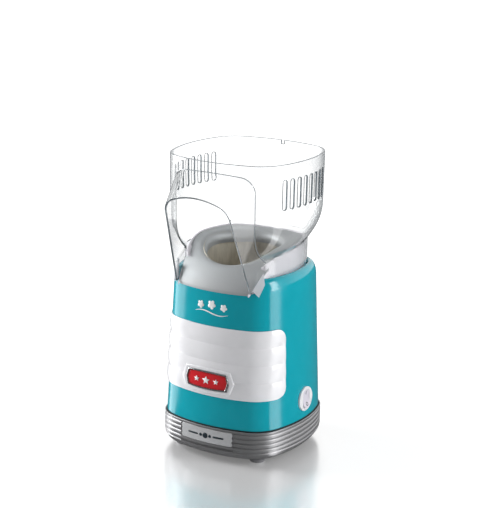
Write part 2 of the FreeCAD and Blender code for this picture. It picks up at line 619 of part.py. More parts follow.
def switch_terminals():
    face = switch_x() - SWITCH_DEPTH
    half_w, half_t = TERMINAL_W / 2, TERMINAL_T / 2
    return [box(face - TERMINAL_L, face, SWITCH_Y - half_w, SWITCH_Y + half_w, z - half_t, z + half_t)
            for z in (SWITCH_Z - TERMINAL_PITCH, SWITCH_Z, SWITCH_Z + TERMINAL_PITCH)]


# --- heater, fan and motor -----------------------------------------------------------------------
def heater_can():
    can = tube(CAN_R + CAN_WALL, CAN_R, FAN_HOUSE_Z1, CAN_TOP_Z, 0, CUP_Y)
    lid = tube(CAN_R + CAN_WALL, CUP_R + CUP_WALL + SEATED, CAN_TOP_Z, CAN_TOP_Z + 1.2, 0, CUP_Y)
    return fused([can, lid])


def mica_half(turn):
    half_t, middle = MICA_T / 2, (MICA_Z0 + MICA_Z1) / 2
    plate = box(-CAN_R + 0.4, CAN_R - 0.4, -half_t, half_t, MICA_Z0, MICA_Z1)
    slit_z0, slit_z1 = (middle, MICA_Z1 + 1) if turn else (MICA_Z0 - 1, middle)
    plate = plate.cut(box(-half_t, half_t, -2, 2, slit_z0, slit_z1))
    plate.rotate(V(0, 0, 0), Z_AXIS, 90.0 * turn)
    plate.translate(V(0, CUP_Y, 0))
    return plate.cut(Part.makeCompound(heater_coils()))


def heater_coils():
    return [Part.makeTorus(r, COIL_WIRE_R, V(0, CUP_Y, z)) for z in COIL_HEIGHTS for r in COIL_RADII]


def fan_housing():
    """Drum round the fan, with an inlet in its floor, ears for its posts and a seat for the heater can."""
    wall = tube(CAN_R + CAN_WALL + 2, CAN_R + CAN_WALL + SEATED, FAN_HOUSE_Z0 + 2, FAN_HOUSE_Z1 + 8, 0, CUP_Y)
    step = tube(CAN_R + CAN_WALL + 0.5, CAN_R - 3, FAN_HOUSE_Z1 - 3, FAN_HOUSE_Z1 - SEATED, 0, CUP_Y)
    floor = Part.makeCylinder(CAN_R + CAN_WALL + 2, 2.0, V(0, CUP_Y, FAN_HOUSE_Z0))
    for i in range(INLET_COUNT):
        port = Part.makeCylinder(INLET_R, 6, V(INLET_AT, 0, FAN_HOUSE_Z0 - 2))
        port.rotate(V(0, 0, 0), Z_AXIS, 360.0 * i / INLET_COUNT)
        port.translate(V(0, CUP_Y, 0))
        floor = floor.cut(port)
    floor = floor.cut(Part.makeCylinder(MOTOR_BOSS_R + 2, 10, V(0, CUP_Y, FAN_HOUSE_Z0 - 4)))
    for x, y in fan_posts():
        floor = floor.cut(Part.makeCylinder(SCREW_R, 10, V(x, y, FAN_HOUSE_Z0 - 4)))
    for x in (-MOTOR_SCREW_AT, MOTOR_SCREW_AT):
        floor = floor.cut(Part.makeCylinder(MOTOR_SCREW_R, 10, V(x, CUP_Y, FAN_HOUSE_Z0 - 4)))
    return fused([wall, step, floor])


def fan_impeller():
    hub = tube(6.0, SHAFT_R, FAN_Z, FAN_Z + FAN_BLADE_H, 0, CUP_Y)
    disc = tube(FAN_R, SHAFT_R, FAN_Z, FAN_Z + FAN_DISC_T, 0, CUP_Y)
    blades = []
    for i in range(FAN_BLADES):
        half_t, foot_z = BLADE_T / 2, FAN_Z + FAN_DISC_T - SEATED
        blade = box(BLADE_ROOT_R, FAN_R - BLADE_T, -half_t, half_t, foot_z, FAN_Z + FAN_BLADE_H)
        blade.rotate(V(BLADE_ROOT_R, 0, 0), Z_AXIS, -BLADE_TURN_DEG)
        blade.rotate(V(0, 0, 0), Z_AXIS, 360.0 * i / FAN_BLADES)
        blade.translate(V(0, CUP_Y, 0))
        blades.append(blade)
    return fused([hub, disc] + blades)


def motor_can():
    top = FAN_HOUSE_Z0
    can = tube(MOTOR_R, MOTOR_R - MOTOR_WALL, MOTOR_Z0, top, 0, CUP_Y)
    lid = tube(MOTOR_R, SHAFT_R + RUNNING, top - MOTOR_WALL, top, 0, CUP_Y)
    boss = tube(MOTOR_BOSS_R, SHAFT_R + RUNNING, top, top + 3, 0, CUP_Y)
    can = fused([can, lid, boss])
    for x in (-MOTOR_SCREW_AT, MOTOR_SCREW_AT):
        can = can.cut(Part.makeCylinder(MOTOR_SCREW_R, 10, V(x, CUP_Y, top - 5)))
    return can


def motor_end_cap():
    disc = tube(MOTOR_R, SHAFT_R + RUNNING, MOTOR_Z0 - 2, MOTOR_Z0, 0, CUP_Y)
    boss = tube(MOTOR_BOSS_R, SHAFT_R + RUNNING, MOTOR_Z0 - 5, MOTOR_Z0 - 2, 0, CUP_Y)
    return fused([disc, boss])


def motor_magnets():
    inner = MOTOR_R - MOTOR_WALL - MAGNET_T
    ring = tube(MOTOR_R - MOTOR_WALL - SEATED, inner, MOTOR_Z0 + 4, FAN_HOUSE_Z0 - 6, 0, CUP_Y)
    return [ring.common(box(x0, x0 + 40, CUP_Y - MAGNET_HALF_W, CUP_Y + MAGNET_HALF_W, 0, 100))
            for x0 in (-42.0, 2.0)]


def rotor_core():
    core = tube(MOTOR_R - MOTOR_WALL - MAGNET_T - 1, SHAFT_R, MOTOR_Z0 + 10, FAN_HOUSE_Z0 - 7, 0, CUP_Y)
    for i in range(ROTOR_SLOTS):
        slot = box(MOTOR_BOSS_R, MOTOR_R + 2, -ROTOR_SLOT_W / 2, ROTOR_SLOT_W / 2, 0, 100)
        slot.rotate(V(0, 0, 0), Z_AXIS, 360.0 * i / ROTOR_SLOTS)
        slot.translate(V(0, CUP_Y, 0))
        core = core.cut(slot)
    return core


def rectifier_board():
    board = tube(BOARD_R, MOTOR_BOSS_R + FIT, MOTOR_Z0 - 5 - BOARD_T, MOTOR_Z0 - 5, 0, CUP_Y)
    legs = [tube(1.6, 0.6, MOTOR_Z0 - 5, MOTOR_Z0 - 2, x, CUP_Y) for x in (-BOARD_LEG_AT, BOARD_LEG_AT)]
    return fused([board] + legs)


def diodes():
    z = MOTOR_Z0 - 5 - BOARD_T - DIODE_R
    return [Part.makeCylinder(DIODE_R, DIODE_L, V(x - DIODE_L / 2, CUP_Y + y, z), X_AXIS)
            for x, y in ((-8, -6), (8, -6), (-8, 6), (8, 6))]


def thermostat():
    """Bimetal cut-out clipped flat against the heater can, with its cap and two blades."""
    face = CAN_R + CAN_WALL + 0.2
    strap = box(-face - 1.2, -face + 4, CUP_Y - 12, CUP_Y + 12, THERMOSTAT_Z - 7, CAN_TOP_Z)
    strap = strap.cut(Part.makeCylinder(CAN_R + CAN_WALL + 0.05, 40, V(0, CUP_Y, THERMOSTAT_Z - 20)))
    cap = Part.makeCylinder(THERMOSTAT_R, 6.0, V(-face - 7.2, CUP_Y, THERMOSTAT_Z), X_AXIS)
    blades = [box(-face - 12.0, -face - 7.1, CUP_Y + dy - 0.4, CUP_Y + dy + 0.4, THERMOSTAT_Z - 2, THERMOSTAT_Z + 2)
              for dy in (-4, 4)]
    return fused([strap, cap] + blades)


def screws(places, z_head, length, head_r, shank_r):
    made = []
    for x, y in places:
        head = Part.makeCylinder(head_r, SCREW_HEAD_H, V(x, y, z_head))
        cross = [box(x - 2, x + 2, y - 0.4, y + 0.4, z_head - 1, z_head + 0.9),
                 box(x - 0.4, x + 0.4, y - 2, y + 2, z_head - 1, z_head + 0.9)]
        shank = Part.makeCylinder(shank_r, length, V(x, y, z_head + SCREW_HEAD_H))
        made.append(fused([head, shank]).cut(Part.makeCompound(cross)))
    return made


def motor_screws():
    made = []
    for x in (-MOTOR_SCREW_AT, MOTOR_SCREW_AT):
        head = Part.makeCylinder(MOTOR_SCREW_HEAD_R, 1.6, V(x, CUP_Y, FAN_HOUSE_Z0 + 2))
        shank = Part.makeCylinder(MOTOR_SCREW_R, 4.0, V(x, CUP_Y, FAN_HOUSE_Z0 - 2))
        made.append(head.fuse(shank))
    return made


def parts():
    made = {
        "base_skirt": base_skirt(), "base_floor": base_floor(), "name_plate": name_plate(),
        "seam_gasket": seam_gasket(), "body_shell": body_shell(), "front_panel": front_panel(),
        "badge_frame": badge_frame(), "badge_insert": badge_insert(), "cord_gland": cord_gland(),
        "chute_plate": chute_plate(), "popping_chamber": chamber(), "collar": collar(), "hood": hood(),
        "switch_housing": switch_housing(), "rocker_button": rocker_button(),
        "switch_terminals": Part.makeCompound(switch_terminals()),
        "heater_can": heater_can(), "mica_plate_a": mica_half(0), "mica_plate_b": mica_half(1),
        "heater_coils": Part.makeCompound(heater_coils()), "fan_housing": fan_housing(),
        "fan_impeller": fan_impeller(), "motor_can": motor_can(), "motor_end_cap": motor_end_cap(),
        "motor_magnets": Part.makeCompound(motor_magnets()), "rotor_core": rotor_core(),
        "motor_shaft": Part.makeCylinder(SHAFT_R, FAN_Z + FAN_BLADE_H + 2 - MOTOR_Z0 + 6, V(0, CUP_Y, MOTOR_Z0 - 6)),
        "rectifier_board": rectifier_board(), "rectifier_diodes": Part.makeCompound(diodes()),
        "thermostat": thermostat(),
        "housing_screws": Part.makeCompound(screws(corners(POST_AT), FLOOR_Z, 22.0, SCREW_HEAD_R, SCREW_R - 0.2)),
        "motor_screws": Part.makeCompound(motor_screws()),
    }
    names = ("foot_front_left", "foot_front_right", "foot_back_left", "foot_back_right")
    for name, (x, y) in zip(names, corners(FOOT_AT)):
        made[name] = foot(x, y)
    return made


os.makedirs("parts", exist_ok=True)
for name, shape in parts().items():
    shape.exportStep(f"parts/{name}.step")
    print(f"{name}: {len(shape.Solids)} solid(s), {shape.Volume / 1000:.2f} cm3, valid {shape.isValid()}")
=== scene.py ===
"""Looks of a hot-air popcorn maker: smooth visible shells and finishes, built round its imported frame.

Lengths are in metres, +Z is up and the chute faces -Y. A "turn" is a place round the housing's outline:
0 at the middle of the front, 0.25 at the right, 0.5 at the back and 0.75 at the left.
"""

import json
import math

import bmesh
import bpy
import numpy as np
from bpy.props import FloatProperty, FloatVectorProperty, IntProperty, PointerProperty
from mathutils import Matrix, Vector
from mathutils.geometry import delaunay_2d_cdt


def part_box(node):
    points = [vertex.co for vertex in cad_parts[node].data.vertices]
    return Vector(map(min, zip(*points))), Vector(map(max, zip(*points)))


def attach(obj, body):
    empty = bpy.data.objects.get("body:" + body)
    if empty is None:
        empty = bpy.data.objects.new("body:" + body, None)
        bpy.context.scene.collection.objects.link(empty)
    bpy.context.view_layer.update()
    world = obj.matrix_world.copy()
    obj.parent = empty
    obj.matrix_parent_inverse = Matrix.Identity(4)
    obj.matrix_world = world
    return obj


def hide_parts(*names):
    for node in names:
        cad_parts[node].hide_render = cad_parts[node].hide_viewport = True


bl_info = {
    "name": "Popcorn maker",
    "version": (1, 0, 0),
    "blender": (4, 5, 0),
    "location": "View3D > Sidebar > Popcorn",
    "description": "Builds the visible shells and finishes of a hot-air popcorn maker",
    "category": "Object",
}

MM = 0.001
CORNER_CENTRE = 0.455    # corner arc's centre, as a share of the outline's half width
CORNER_RADIUS = 0.474    # corner arc's radius, as a share of the outline's half width

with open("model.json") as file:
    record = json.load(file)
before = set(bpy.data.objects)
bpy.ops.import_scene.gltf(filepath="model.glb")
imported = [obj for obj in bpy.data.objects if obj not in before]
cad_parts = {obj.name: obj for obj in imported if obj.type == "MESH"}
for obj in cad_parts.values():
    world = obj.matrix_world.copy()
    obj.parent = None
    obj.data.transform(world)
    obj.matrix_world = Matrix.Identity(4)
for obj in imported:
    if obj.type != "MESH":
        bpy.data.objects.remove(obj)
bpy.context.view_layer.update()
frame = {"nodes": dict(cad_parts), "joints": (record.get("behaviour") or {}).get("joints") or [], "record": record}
HOOD_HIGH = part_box("hood")[1]
BODY_LOW, BODY_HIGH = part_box("body_shell")
BASE_LOW, BASE_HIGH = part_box("base_skirt")
PANEL_LOW, PANEL_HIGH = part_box("front_panel")
PLATE_LOW, PLATE_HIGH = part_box("name_plate")
CHUTE_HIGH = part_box("chute_plate")[1]
CUP_LOW, CUP_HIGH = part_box("popping_chamber")
INSERT_LOW, INSERT_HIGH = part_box("badge_insert")
SWITCH_LOW, SWITCH_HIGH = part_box("switch_housing")
GLAND_LOW, GLAND_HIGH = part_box("cord_gland")
ROCKER_JOINT = next(j for j in frame["joints"] if j["child"] == "rocker")


# --- colours -------------------------------------------------------------------------------------
def linear(code):
    """A hex sRGB colour as linear red, green and blue."""
    values = [int(code[i:i + 2], 16) / 255 for i in (1, 3, 5)]
    return tuple(v / 12.92 if v <= 0.04045 else ((v + 0.055) / 1.055) ** 2.4 for v in values)


def colour_setting(label, what, code):
    return FloatVectorProperty(name=label, description=what, subtype="COLOR", size=3, min=0, max=1,
                               default=linear(code))


def length_setting(label, what, millimetres):
    return FloatProperty(name=label, description=what, default=millimetres * MM, unit="LENGTH",
                         subtype="DISTANCE", precision=5)


class Colours(bpy.types.PropertyGroup):
    """Colours of the mouldings and metals."""
    housing: colour_setting("Housing", "Dyed plastic of the housing", "#00A2B2")
    panel: colour_setting("Panel", "White plastic of the front panel and switch", "#ECECEF")
    badge: colour_setting("Badge", "Enamelled plate of the badge", "#D2222A")
    base: colour_setting("Base", "Silver paint on the base", "#9A9A9C")
    tray: colour_setting("Chute plate", "Satin metal of the chute plate", "#B3B5B7")
    collar: colour_setting("Collar", "Pale plastic under the chute plate", "#E9E4EA")


class HousingSizes(bpy.types.PropertyGroup):
    """Sizes of the housing, its front panel and its badge."""
    foot_half: length_setting("Foot half width", "Half the width where the housing enters the base", 69.3)
    head_half: length_setting("Head half width", "Half the width where the shoulder starts", 63.8)
    shoulder: length_setting("Shoulder height", "Height of the rounded shoulder", 15.0)
    wall: length_setting("Wall", "Thickness of the housing's wall", 2.5)
    panel_lift: length_setting("Panel lift", "How far the front panel stands out", 1.9)
    band_depth: length_setting("Band depth", "Depth of the grooves between the panel's bands", 1.2)
    bands: IntProperty(name="Bands", description="Number of bands on the front panel", default=4, min=1)


class BaseSizes(bpy.types.PropertyGroup):
    """Sizes of the ribbed base."""
    half: length_setting("Half width", "Half the width across the ribs", 71.2)
    sole_half: length_setting("Sole half width", "Half the width of the underside", 61.0)
    bowl_top: length_setting("Bowl height", "Height at which the lower curve ends", 16.0)
    rib_pitch: length_setting("Rib pitch", "Distance from rib to rib", 4.65)
    rib_depth: length_setting("Rib depth", "Depth of the grooves between ribs", 1.5)
    ribs: IntProperty(name="Grooves", description="Number of grooves", default=5, min=1)


class HoodSizes(bpy.types.PropertyGroup):
    """Sizes of the clear hood."""
    skirt_half: length_setting("Skirt half width", "Half the width of the skirt", 55.0)
    waist_half: length_setting("Waist half width", "Half the width above the taper", 67.9)
    rim_half: length_setting("Rim half width", "Half the width at the rim", 68.4)
    wall: length_setting("Wall", "Thickness of the clear wall", 2.0)
    taper_foot: length_setting("Taper foot", "Height at which the taper starts", 207.5)
    taper_head: length_setting("Taper head", "Height at which the taper ends", 243.5)
    mouth_foot_half: length_setting("Mouth foot half width", "Half the chute mouth's width at its foot", 42.6)
    mouth_head_half: length_setting("Mouth head half width", "Half the chute mouth's width near its top",
                                    36.5)
    mouth_top: length_setting("Mouth top", "Height of the chute mouth's top", 268.0)
    slots: IntProperty(name="Slots", description="Number of slots on each side", default=8, min=1)


class StageSettings(bpy.types.PropertyGroup):
    """Camera and light."""
    azimuth: FloatProperty(name="Azimuth", description="Camera's place round the maker", subtype="ANGLE",
                           default=math.radians(31.0))
    elevation: FloatProperty(name="Elevation", description="Camera's height angle", subtype="ANGLE",
                             default=math.radians(15.17))
    roll: FloatProperty(name="Roll", description="Camera's lean", subtype="ANGLE", default=math.radians(1.12))
    distance: length_setting("Distance", "From the camera to the point it looks at", 1588.7)
    lens: FloatProperty(name="Lens", description="Focal length in millimetres", default=110.7)
    left: FloatProperty(name="Left light", description="Power of the left light", default=18.0, unit="POWER")
    right: FloatProperty(name="Right light", description="Power of the right light", default=10.0,
                         unit="POWER")


# --- outline -------------------------------------------------------------------------------------
REACH = 1 - CORNER_CENTRE
FACE_RADIUS = (CORNER_CENTRE ** 2 + REACH ** 2 - CORNER_RADIUS ** 2) / (2 * (REACH - CORNER_RADIUS))
LEAN = math.atan2(CORNER_CENTRE, FACE_RADIUS - REACH)
QUARTER = math.pi / 2


def outline_knots():
    """Headings at which a crowned square's arcs meet, and the length of outline up to each of them."""
    headings = [-QUARTER]
    for side in range(4):
        headings += [(side - 1) * QUARTER + LEAN, side * QUARTER - LEAN]
    headings.append(3 * QUARTER)
    steps = np.diff(headings)
    radii = np.array([FACE_RADIUS, CORNER_RADIUS] * 4 + [FACE_RADIUS])
    lengths = np.concatenate([[0.0], np.cumsum(steps * radii)])
    return np.array(headings), lengths


HEADINGS, LENGTHS = outline_knots()
GIRTH = LENGTHS[-1]      # length round an outline of half width 1


def around(turn):
    """Point and outward normal of the crowned square of half width 1 at each turn.

    The heading of the normal grows in step with the length along each arc. The point is the arc's centre plus
    its radius along the normal, where face arcs are centred on an axis and corner arcs on a diagonal.
    """
    heading = np.interp(np.mod(turn, 1.0) * GIRTH, LENGTHS, HEADINGS)
    normal = np.stack([np.cos(heading), np.sin(heading)], -1)
    side = np.round(heading / QUARTER) * QUARTER
    on_face = np.abs(heading - side) <= LEAN + 1e-9
    face = np.stack([np.cos(side), np.sin(side)], -1) * (1 - FACE_RADIUS)
    corner = np.sign(np.where(np.abs(normal) < 1e-9, 1.0, normal)) * CORNER_CENTRE
    centre = np.where(on_face[..., None], face, corner)
    radius = np.where(on_face, FACE_RADIUS, CORNER_RADIUS)
    return centre + radius[..., None] * normal, normal


def on_outline(turn, half, lift, height):
    """Points of the crowned square of that half width, moved out by lift along its normal, at that height."""
    point, normal = around(np.asarray(turn, float))
    flat = np.asarray(half)[..., None] * point + np.asarray(lift)[..., None] * normal
    return np.concatenate([flat, np.broadcast_to(height, flat.shape[:-1])[..., None]], -1)


FRONT_TURNS = np.linspace(-0.19, 0.19, 761)
FRONT_X = around(FRONT_TURNS)[0][:, 0]


def front_turn(x, half):
    """Turn at which the front of an outline of that half width has that x."""
    return np.interp(np.asarray(x) / half, FRONT_X, FRONT_TURNS)


def smooth_step(value, low, high):
    """0 below low, 1 above high, and a cubic ease between them."""
    share = np.clip((value - low) / (high - low), 0, 1)
    return share * share * (3 - 2 * share)


# --- mesh tools ----------------------------------------------------------------------------------
def grid_faces(rows, cols, wrap_rows, wrap_cols):
    """Four-cornered faces of a grid of points, row by row."""
    index = np.arange(rows * cols).reshape(rows, cols)
    if wrap_rows:
        index = np.vstack([index, index[:1]])
    if wrap_cols:
        index = np.hstack([index, index[:, :1]])
    corners = index[:-1, :-1], index[:-1, 1:], index[1:, 1:], index[1:, :-1]
    return np.stack([c.ravel() for c in corners], -1)


class Form:
    """Points and faces of one piece while it is put together."""

    def __init__(self):
        self.points, self.faces, self.count = [], [], 0

    def add(self, points, faces):
        points = np.asarray(points, float).reshape(-1, 3)
        self.points.append(points)
        self.faces += (np.asarray(faces) + self.count).tolist()
        self.count += len(points)

    def grid(self, points, wrap_rows=False, wrap_cols=False):
        self.add(points, grid_faces(points.shape[0], points.shape[1], wrap_rows, wrap_cols))

    def finish(self, name, material, body, nodes=(), slot=None, sharp=35.0):
        """Mesh with merged points and outward faces, which rides on a body and may replace CAD nodes."""
        mesh = bpy.data.meshes.new(name)
        mesh.from_pydata(np.concatenate(self.points).tolist(), [], self.faces)
        work = bmesh.new()
        work.from_mesh(mesh)
        bmesh.ops.remove_doubles(work, verts=work.verts, dist=2e-6)
        bmesh.ops.dissolve_degenerate(work, edges=work.edges, dist=1e-7)
        bmesh.ops.recalc_face_normals(work, faces=work.faces)
        work.to_mesh(mesh)
        work.free()
        mesh.polygons.foreach_set("use_smooth", [True] * len(mesh.polygons))
        mesh.set_sharp_from_angle(angle=math.radians(sharp))
        mesh.materials.append(material)
        piece = bpy.data.objects.new(name, mesh)
        bpy.context.scene.collection.objects.link(piece)
        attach(piece, body)
        if nodes:
            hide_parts(*nodes)
        return piece


def inside(points, loops):
    """Which points lie inside the loops, counting how often a ray to the right crosses their edges."""
    crossings = np.zeros(len(points), int)
    for loop in loops:
        a, b = loop, np.roll(loop, -1, 0)
        y = points[:, 1][:, None]
        spans = (a[:, 1] > y) != (b[:, 1] > y)
        rise = np.where(b[:, 1] == a[:, 1], 1.0, b[:, 1] - a[:, 1])
        at = a[:, 0] + (y - a[:, 1]) * (b[:, 0] - a[:, 0]) / rise
        crossings += (spans & (points[:, 0][:, None] < at)).sum(1)
    return crossings % 2 == 1


def cut_sheet(loops, spacing, creases=()):
    """Flat sheet of triangles inside closed loops, with rows of points in it and edges on its creases."""
    corners = np.concatenate(loops)
    low, high = corners.min(0), corners.max(0)
    count = np.maximum(np.ceil((high - low) / spacing).astype(int), 1)
    u, v = np.meshgrid(np.linspace(low[0], high[0], count[0] + 1), np.linspace(low[1], high[1], count[1] + 1))
    u[1::2] += (high[0] - low[0]) / count[0] / 2
    rows = np.stack([u.ravel(), v.ravel()], -1)
    rows = rows[inside(rows, loops)]
    fixed = np.concatenate([corners] + [np.asarray(c) for c in creases])
    near = np.full(len(rows), np.inf)
    for part in np.array_split(fixed, max(len(fixed) // 64, 1)):
        near = np.minimum(near, np.linalg.norm(rows[:, None] - part[None], axis=-1).min(1))
    rows = rows[near > 0.55 * spacing]
    edges, start = [], 0
    for loop in loops:
        index = np.arange(len(loop)) + start
        edges += np.stack([index, np.roll(index, -1)], -1).tolist()
        start += len(loop)
    for crease in creases:
        index = np.arange(len(crease)) + start
        edges += np.stack([index[:-1], index[1:]], -1).tolist()
        start += len(crease)
    flat = [Vector(p) for p in np.concatenate([fixed, rows]).tolist()]
    points, _, faces, *_ = delaunay_2d_cdt(flat, edges, [], 0, 1e-8)
    points = np.array([p[:] for p in points])
    faces = np.array(faces)
    return points, faces[inside(points[faces].mean(1), loops)]


def line(start, end, spacing):
    """Evenly spaced points from start up to, but not at, end."""
    start, end = np.array(start, float), np.array(end, float)
    count = max(int(math.ceil(np.linalg.norm(end - start) / spacing)), 1)
    return start + (end - start) * (np.arange(count) / count)[:, None]


def rounded_loop(corners, radius, spacing):
    """Closed polygon whose corners are arcs of the given radius, as evenly spaced points."""
    corners = np.array(corners, float)
    runs = []
    for before, at, after in zip(np.roll(corners, 1, 0), corners, np.roll(corners, -1, 0)):
        to_before, to_after = (p - at for p in (before, after))
        to_before, to_after = (p / np.linalg.norm(p) for p in (to_before, to_after))
        angle = math.acos(np.clip(to_before @ to_after, -1, 1))
        cut = radius / math.tan(angle / 2)
        middle = to_before + to_after
        centre = at + middle / np.linalg.norm(middle) * radius / math.sin(angle / 2)
        first, last = at + to_before * cut - centre, at + to_after * cut - centre
        steps = max(int(math.ceil((math.pi - angle) * radius / spacing * 1.6)), 3)
        share = np.linspace(0, 1, steps + 1)[:, None]
        swing = math.pi - angle
        arc = (first * np.sin((1 - share) * swing) + last * np.sin(share * swing)) / math.sin(swing)
        runs.append(centre + arc)
    points = []
    for run, following in zip(runs, runs[1:] + runs[:1]):
        points += [run[:-1], line(run[-1], following[0], spacing)]
    return np.concatenate(points)


def thicken(piece, depth, edge=0.0, segments=3):
    """Gives a sheet its thickness behind its face, and rounds its edges."""
    wall = piece.modifiers.new("thickness", "SOLIDIFY")
    wall.thickness, wall.offset, wall.use_even_offset = depth, -1, True
    if edge:
        round_edges(piece, edge, segments)


def round_edges(piece, width, segments=3, angle=40.0):
    bevel = piece.modifiers.new("edges", "BEVEL")
    bevel.width, bevel.segments, bevel.limit_method = width, segments, "ANGLE"
    bevel.angle_limit, bevel.use_clamp_overlap, bevel.harden_normals = math.radians(angle), False, True
    return bevel


def lathe(profile, centre, along, count=96):
    """Closed profile of (radius, distance along the axis) rows carried once round an axis."""
    profile = np.asarray(profile, float)
    along = np.array(along, float)
    first = np.array([0, 0, 1.0]) if abs(along[2]) < 0.5 else np.array([1.0, 0, 0])
    second = np.cross(along, first)
    angle = np.arange(count) / count * 2 * math.pi
    radial = np.cos(angle)[:, None] * first + np.sin(angle)[:, None] * second
    return np.array(centre) + profile[:, 0, None, None] * radial + profile[:, 1, None, None] * along


# --- finishes ------------------------------------------------------------------------------------
def add(tree, kind, settings=(), links=()):
    """Adds a node with its settings and its incoming links."""
    node = tree.nodes.new(kind)
    for key, value in dict(settings).items():
        if isinstance(key, int) or key in node.inputs:
            node.inputs[key].default_value = value
        else:
            setattr(node, key, value)
    for key, source in dict(links).items():
        tree.links.new(source, node.inputs[key])
    return node


def new_material(name):
    material = bpy.data.materials.new(name)
    material.use_nodes = True
    tree = material.node_tree
    tree.nodes.clear()
    output = add(tree, "ShaderNodeOutputMaterial")
    coords = add(tree, "ShaderNodeTexCoord").outputs["Object"]
    return material, tree, output, coords


def opaque(colour):
    return (*colour, 1.0)


def grain(tree, coords, size, depth, stretch=(1, 1, 1), detail=2.0):
    """Bump from noise whose lumps are size across, stretched along an axis by a smaller number there."""
    spread = add(tree, "ShaderNodeMapping", {"Scale": stretch}, {"Vector": coords})
    noise = add(tree, "ShaderNodeTexNoise", {"Scale": 1 / size, "Detail": detail},
                {"Vector": spread.outputs[0]})
    bump = add(tree, "ShaderNodeBump", {"Strength": 1.0, "Distance": depth}, {"Height": noise.outputs["Fac"]})
    return noise.outputs["Fac"], bump.outputs["Normal"]


def varied(tree, value, low, high):
    """The value of a pattern, spread between low and high."""
    return add(tree, "ShaderNodeMapRange", {"From Min": 0.3, "From Max": 0.7, "To Min": low, "To Max": high},
               {"Value": value}).outputs["Result"]


def tinted(tree, value, colour, spread):
    """A colour that turns lighter and darker by spread with a pattern."""
    dark, light = ([min(c * k, 1.0) for c in colour] for k in (1 - spread, 1 + spread))
    ramp = add(tree, "ShaderNodeValToRGB", {}, {"Fac": value})
    ramp.color_ramp.elements[0].position, ramp.color_ramp.elements[1].position = 0.3, 0.7
    ramp.color_ramp.elements[0].color, ramp.color_ramp.elements[1].color = opaque(dark), opaque(light)
    return ramp.outputs["Color"]


def gloss_abs(name, colour, roughness=0.16, coat=0.25):
    """Injection-moulded ABS from a polished tool: clean gloss, faint long-wave ripple and even dye."""
    material, tree, output, coords = new_material(name)
    # Flow ripple about 14 mm long and a few thousandths deep; the dye varies by two parts in a hundred.
    pattern, normal = grain(tree, coords, 14 * MM, 0.03 * MM)
    shader = add(tree, "ShaderNodeBsdfPrincipled", {"IOR": 1.53, "Coat Weight": coat, "Coat Roughness": 0.04},
                 {"Base Color": tinted(tree, pattern, colour, 0.02), "Normal": normal,
                  "Roughness": varied(tree, pattern, roughness * 0.85, roughness * 1.15)})
    tree.links.new(shader.outputs[0], output.inputs[0])
    return material


def textured_plastic(name, colour, roughness=0.5, size=0.6 * MM, depth=0.05 * MM):
    """Moulding from a spark-eroded tool: an even matt with grains, drawn about twice their real 0.3 mm."""
    material, tree, output, coords = new_material(name)
    pattern, normal = grain(tree, coords, size, depth)
    shader = add(tree, "ShaderNodeBsdfPrincipled", {"IOR": 1.5},
                 {"Base Color": tinted(tree, pattern, colour, 0.08), "Normal": normal,
                  "Roughness": varied(tree, pattern, roughness * 0.9, min(roughness * 1.1, 1.0))})
    tree.links.new(shader.outputs[0], output.inputs[0])
    return material


def metal(name, colour, roughness, size=0.5 * MM, depth=0.01 * MM, stretch=(1, 1, 1), spread=0.06,
          metallic=1.0, coat=0.0):
    """Metal, or metallic paint where it is not fully metallic: its grain sets roughness and a light bump."""
    material, tree, output, coords = new_material(name)
    pattern, normal = grain(tree, coords, size, depth, stretch, 4.0)
    shader = add(tree, "ShaderNodeBsdfPrincipled", {"Metallic": metallic, "Coat Weight": coat},
                 {"Base Color": tinted(tree, pattern, colour, spread), "Normal": normal,
                  "Roughness": varied(tree, pattern, roughness * 0.85, roughness * 1.15)})
    tree.links.new(shader.outputs[0], output.inputs[0])
    return material


def clear_polycarbonate():
    """Polished clear polycarbonate: no colour across a wall, a grey cast where the eye looks along one.

    Light for shading passes straight through, as it nearly does through a thin wall.
    """
    material, tree, output, coords = new_material("clear_polycarbonate")
    # Moulding ripple about 30 mm long and two hundredths deep.
    _, normal = grain(tree, coords, 30 * MM, 0.02 * MM, detail=0.0)
    edgewise = add(tree, "ShaderNodeLayerWeight", {"Blend": 0.5}).outputs["Facing"]
    cast = add(tree, "ShaderNodeValToRGB", {}, {"Fac": edgewise})
    cast.color_ramp.elements[0].position, cast.color_ramp.elements[1].position = 0.5, 0.95
    cast.color_ramp.elements[0].color = opaque(linear("#FFFFFF"))
    cast.color_ramp.elements[1].color = opaque(linear("#5F696F"))
    shader = add(tree, "ShaderNodeBsdfPrincipled",
                 {"Transmission Weight": 1.0, "IOR": 1.585, "Roughness": 0.01},
                 {"Normal": normal, "Base Color": cast.outputs["Color"]})
    through = add(tree, "ShaderNodeBsdfTransparent", {"Color": opaque(linear("#F4F6F6"))})
    path = add(tree, "ShaderNodeLightPath")
    lighting = add(tree, "ShaderNodeMath", {"operation": "MAXIMUM"},
                   {0: path.outputs["Is Shadow Ray"], 1: path.outputs["Is Diffuse Ray"]})
    mixed = add(tree, "ShaderNodeMixShader", {}, {0: lighting.outputs[0], 1: shader.outputs[0],
                                                  2: through.outputs[0]})
    tint = add(tree, "ShaderNodeVolumeAbsorption", {"Color": opaque(linear("#8E9AA0")), "Density": 40.0})
    tree.links.new(mixed.outputs[0], output.inputs["Surface"])
    tree.links.new(tint.outputs[0], output.inputs["Volume"])
    return material


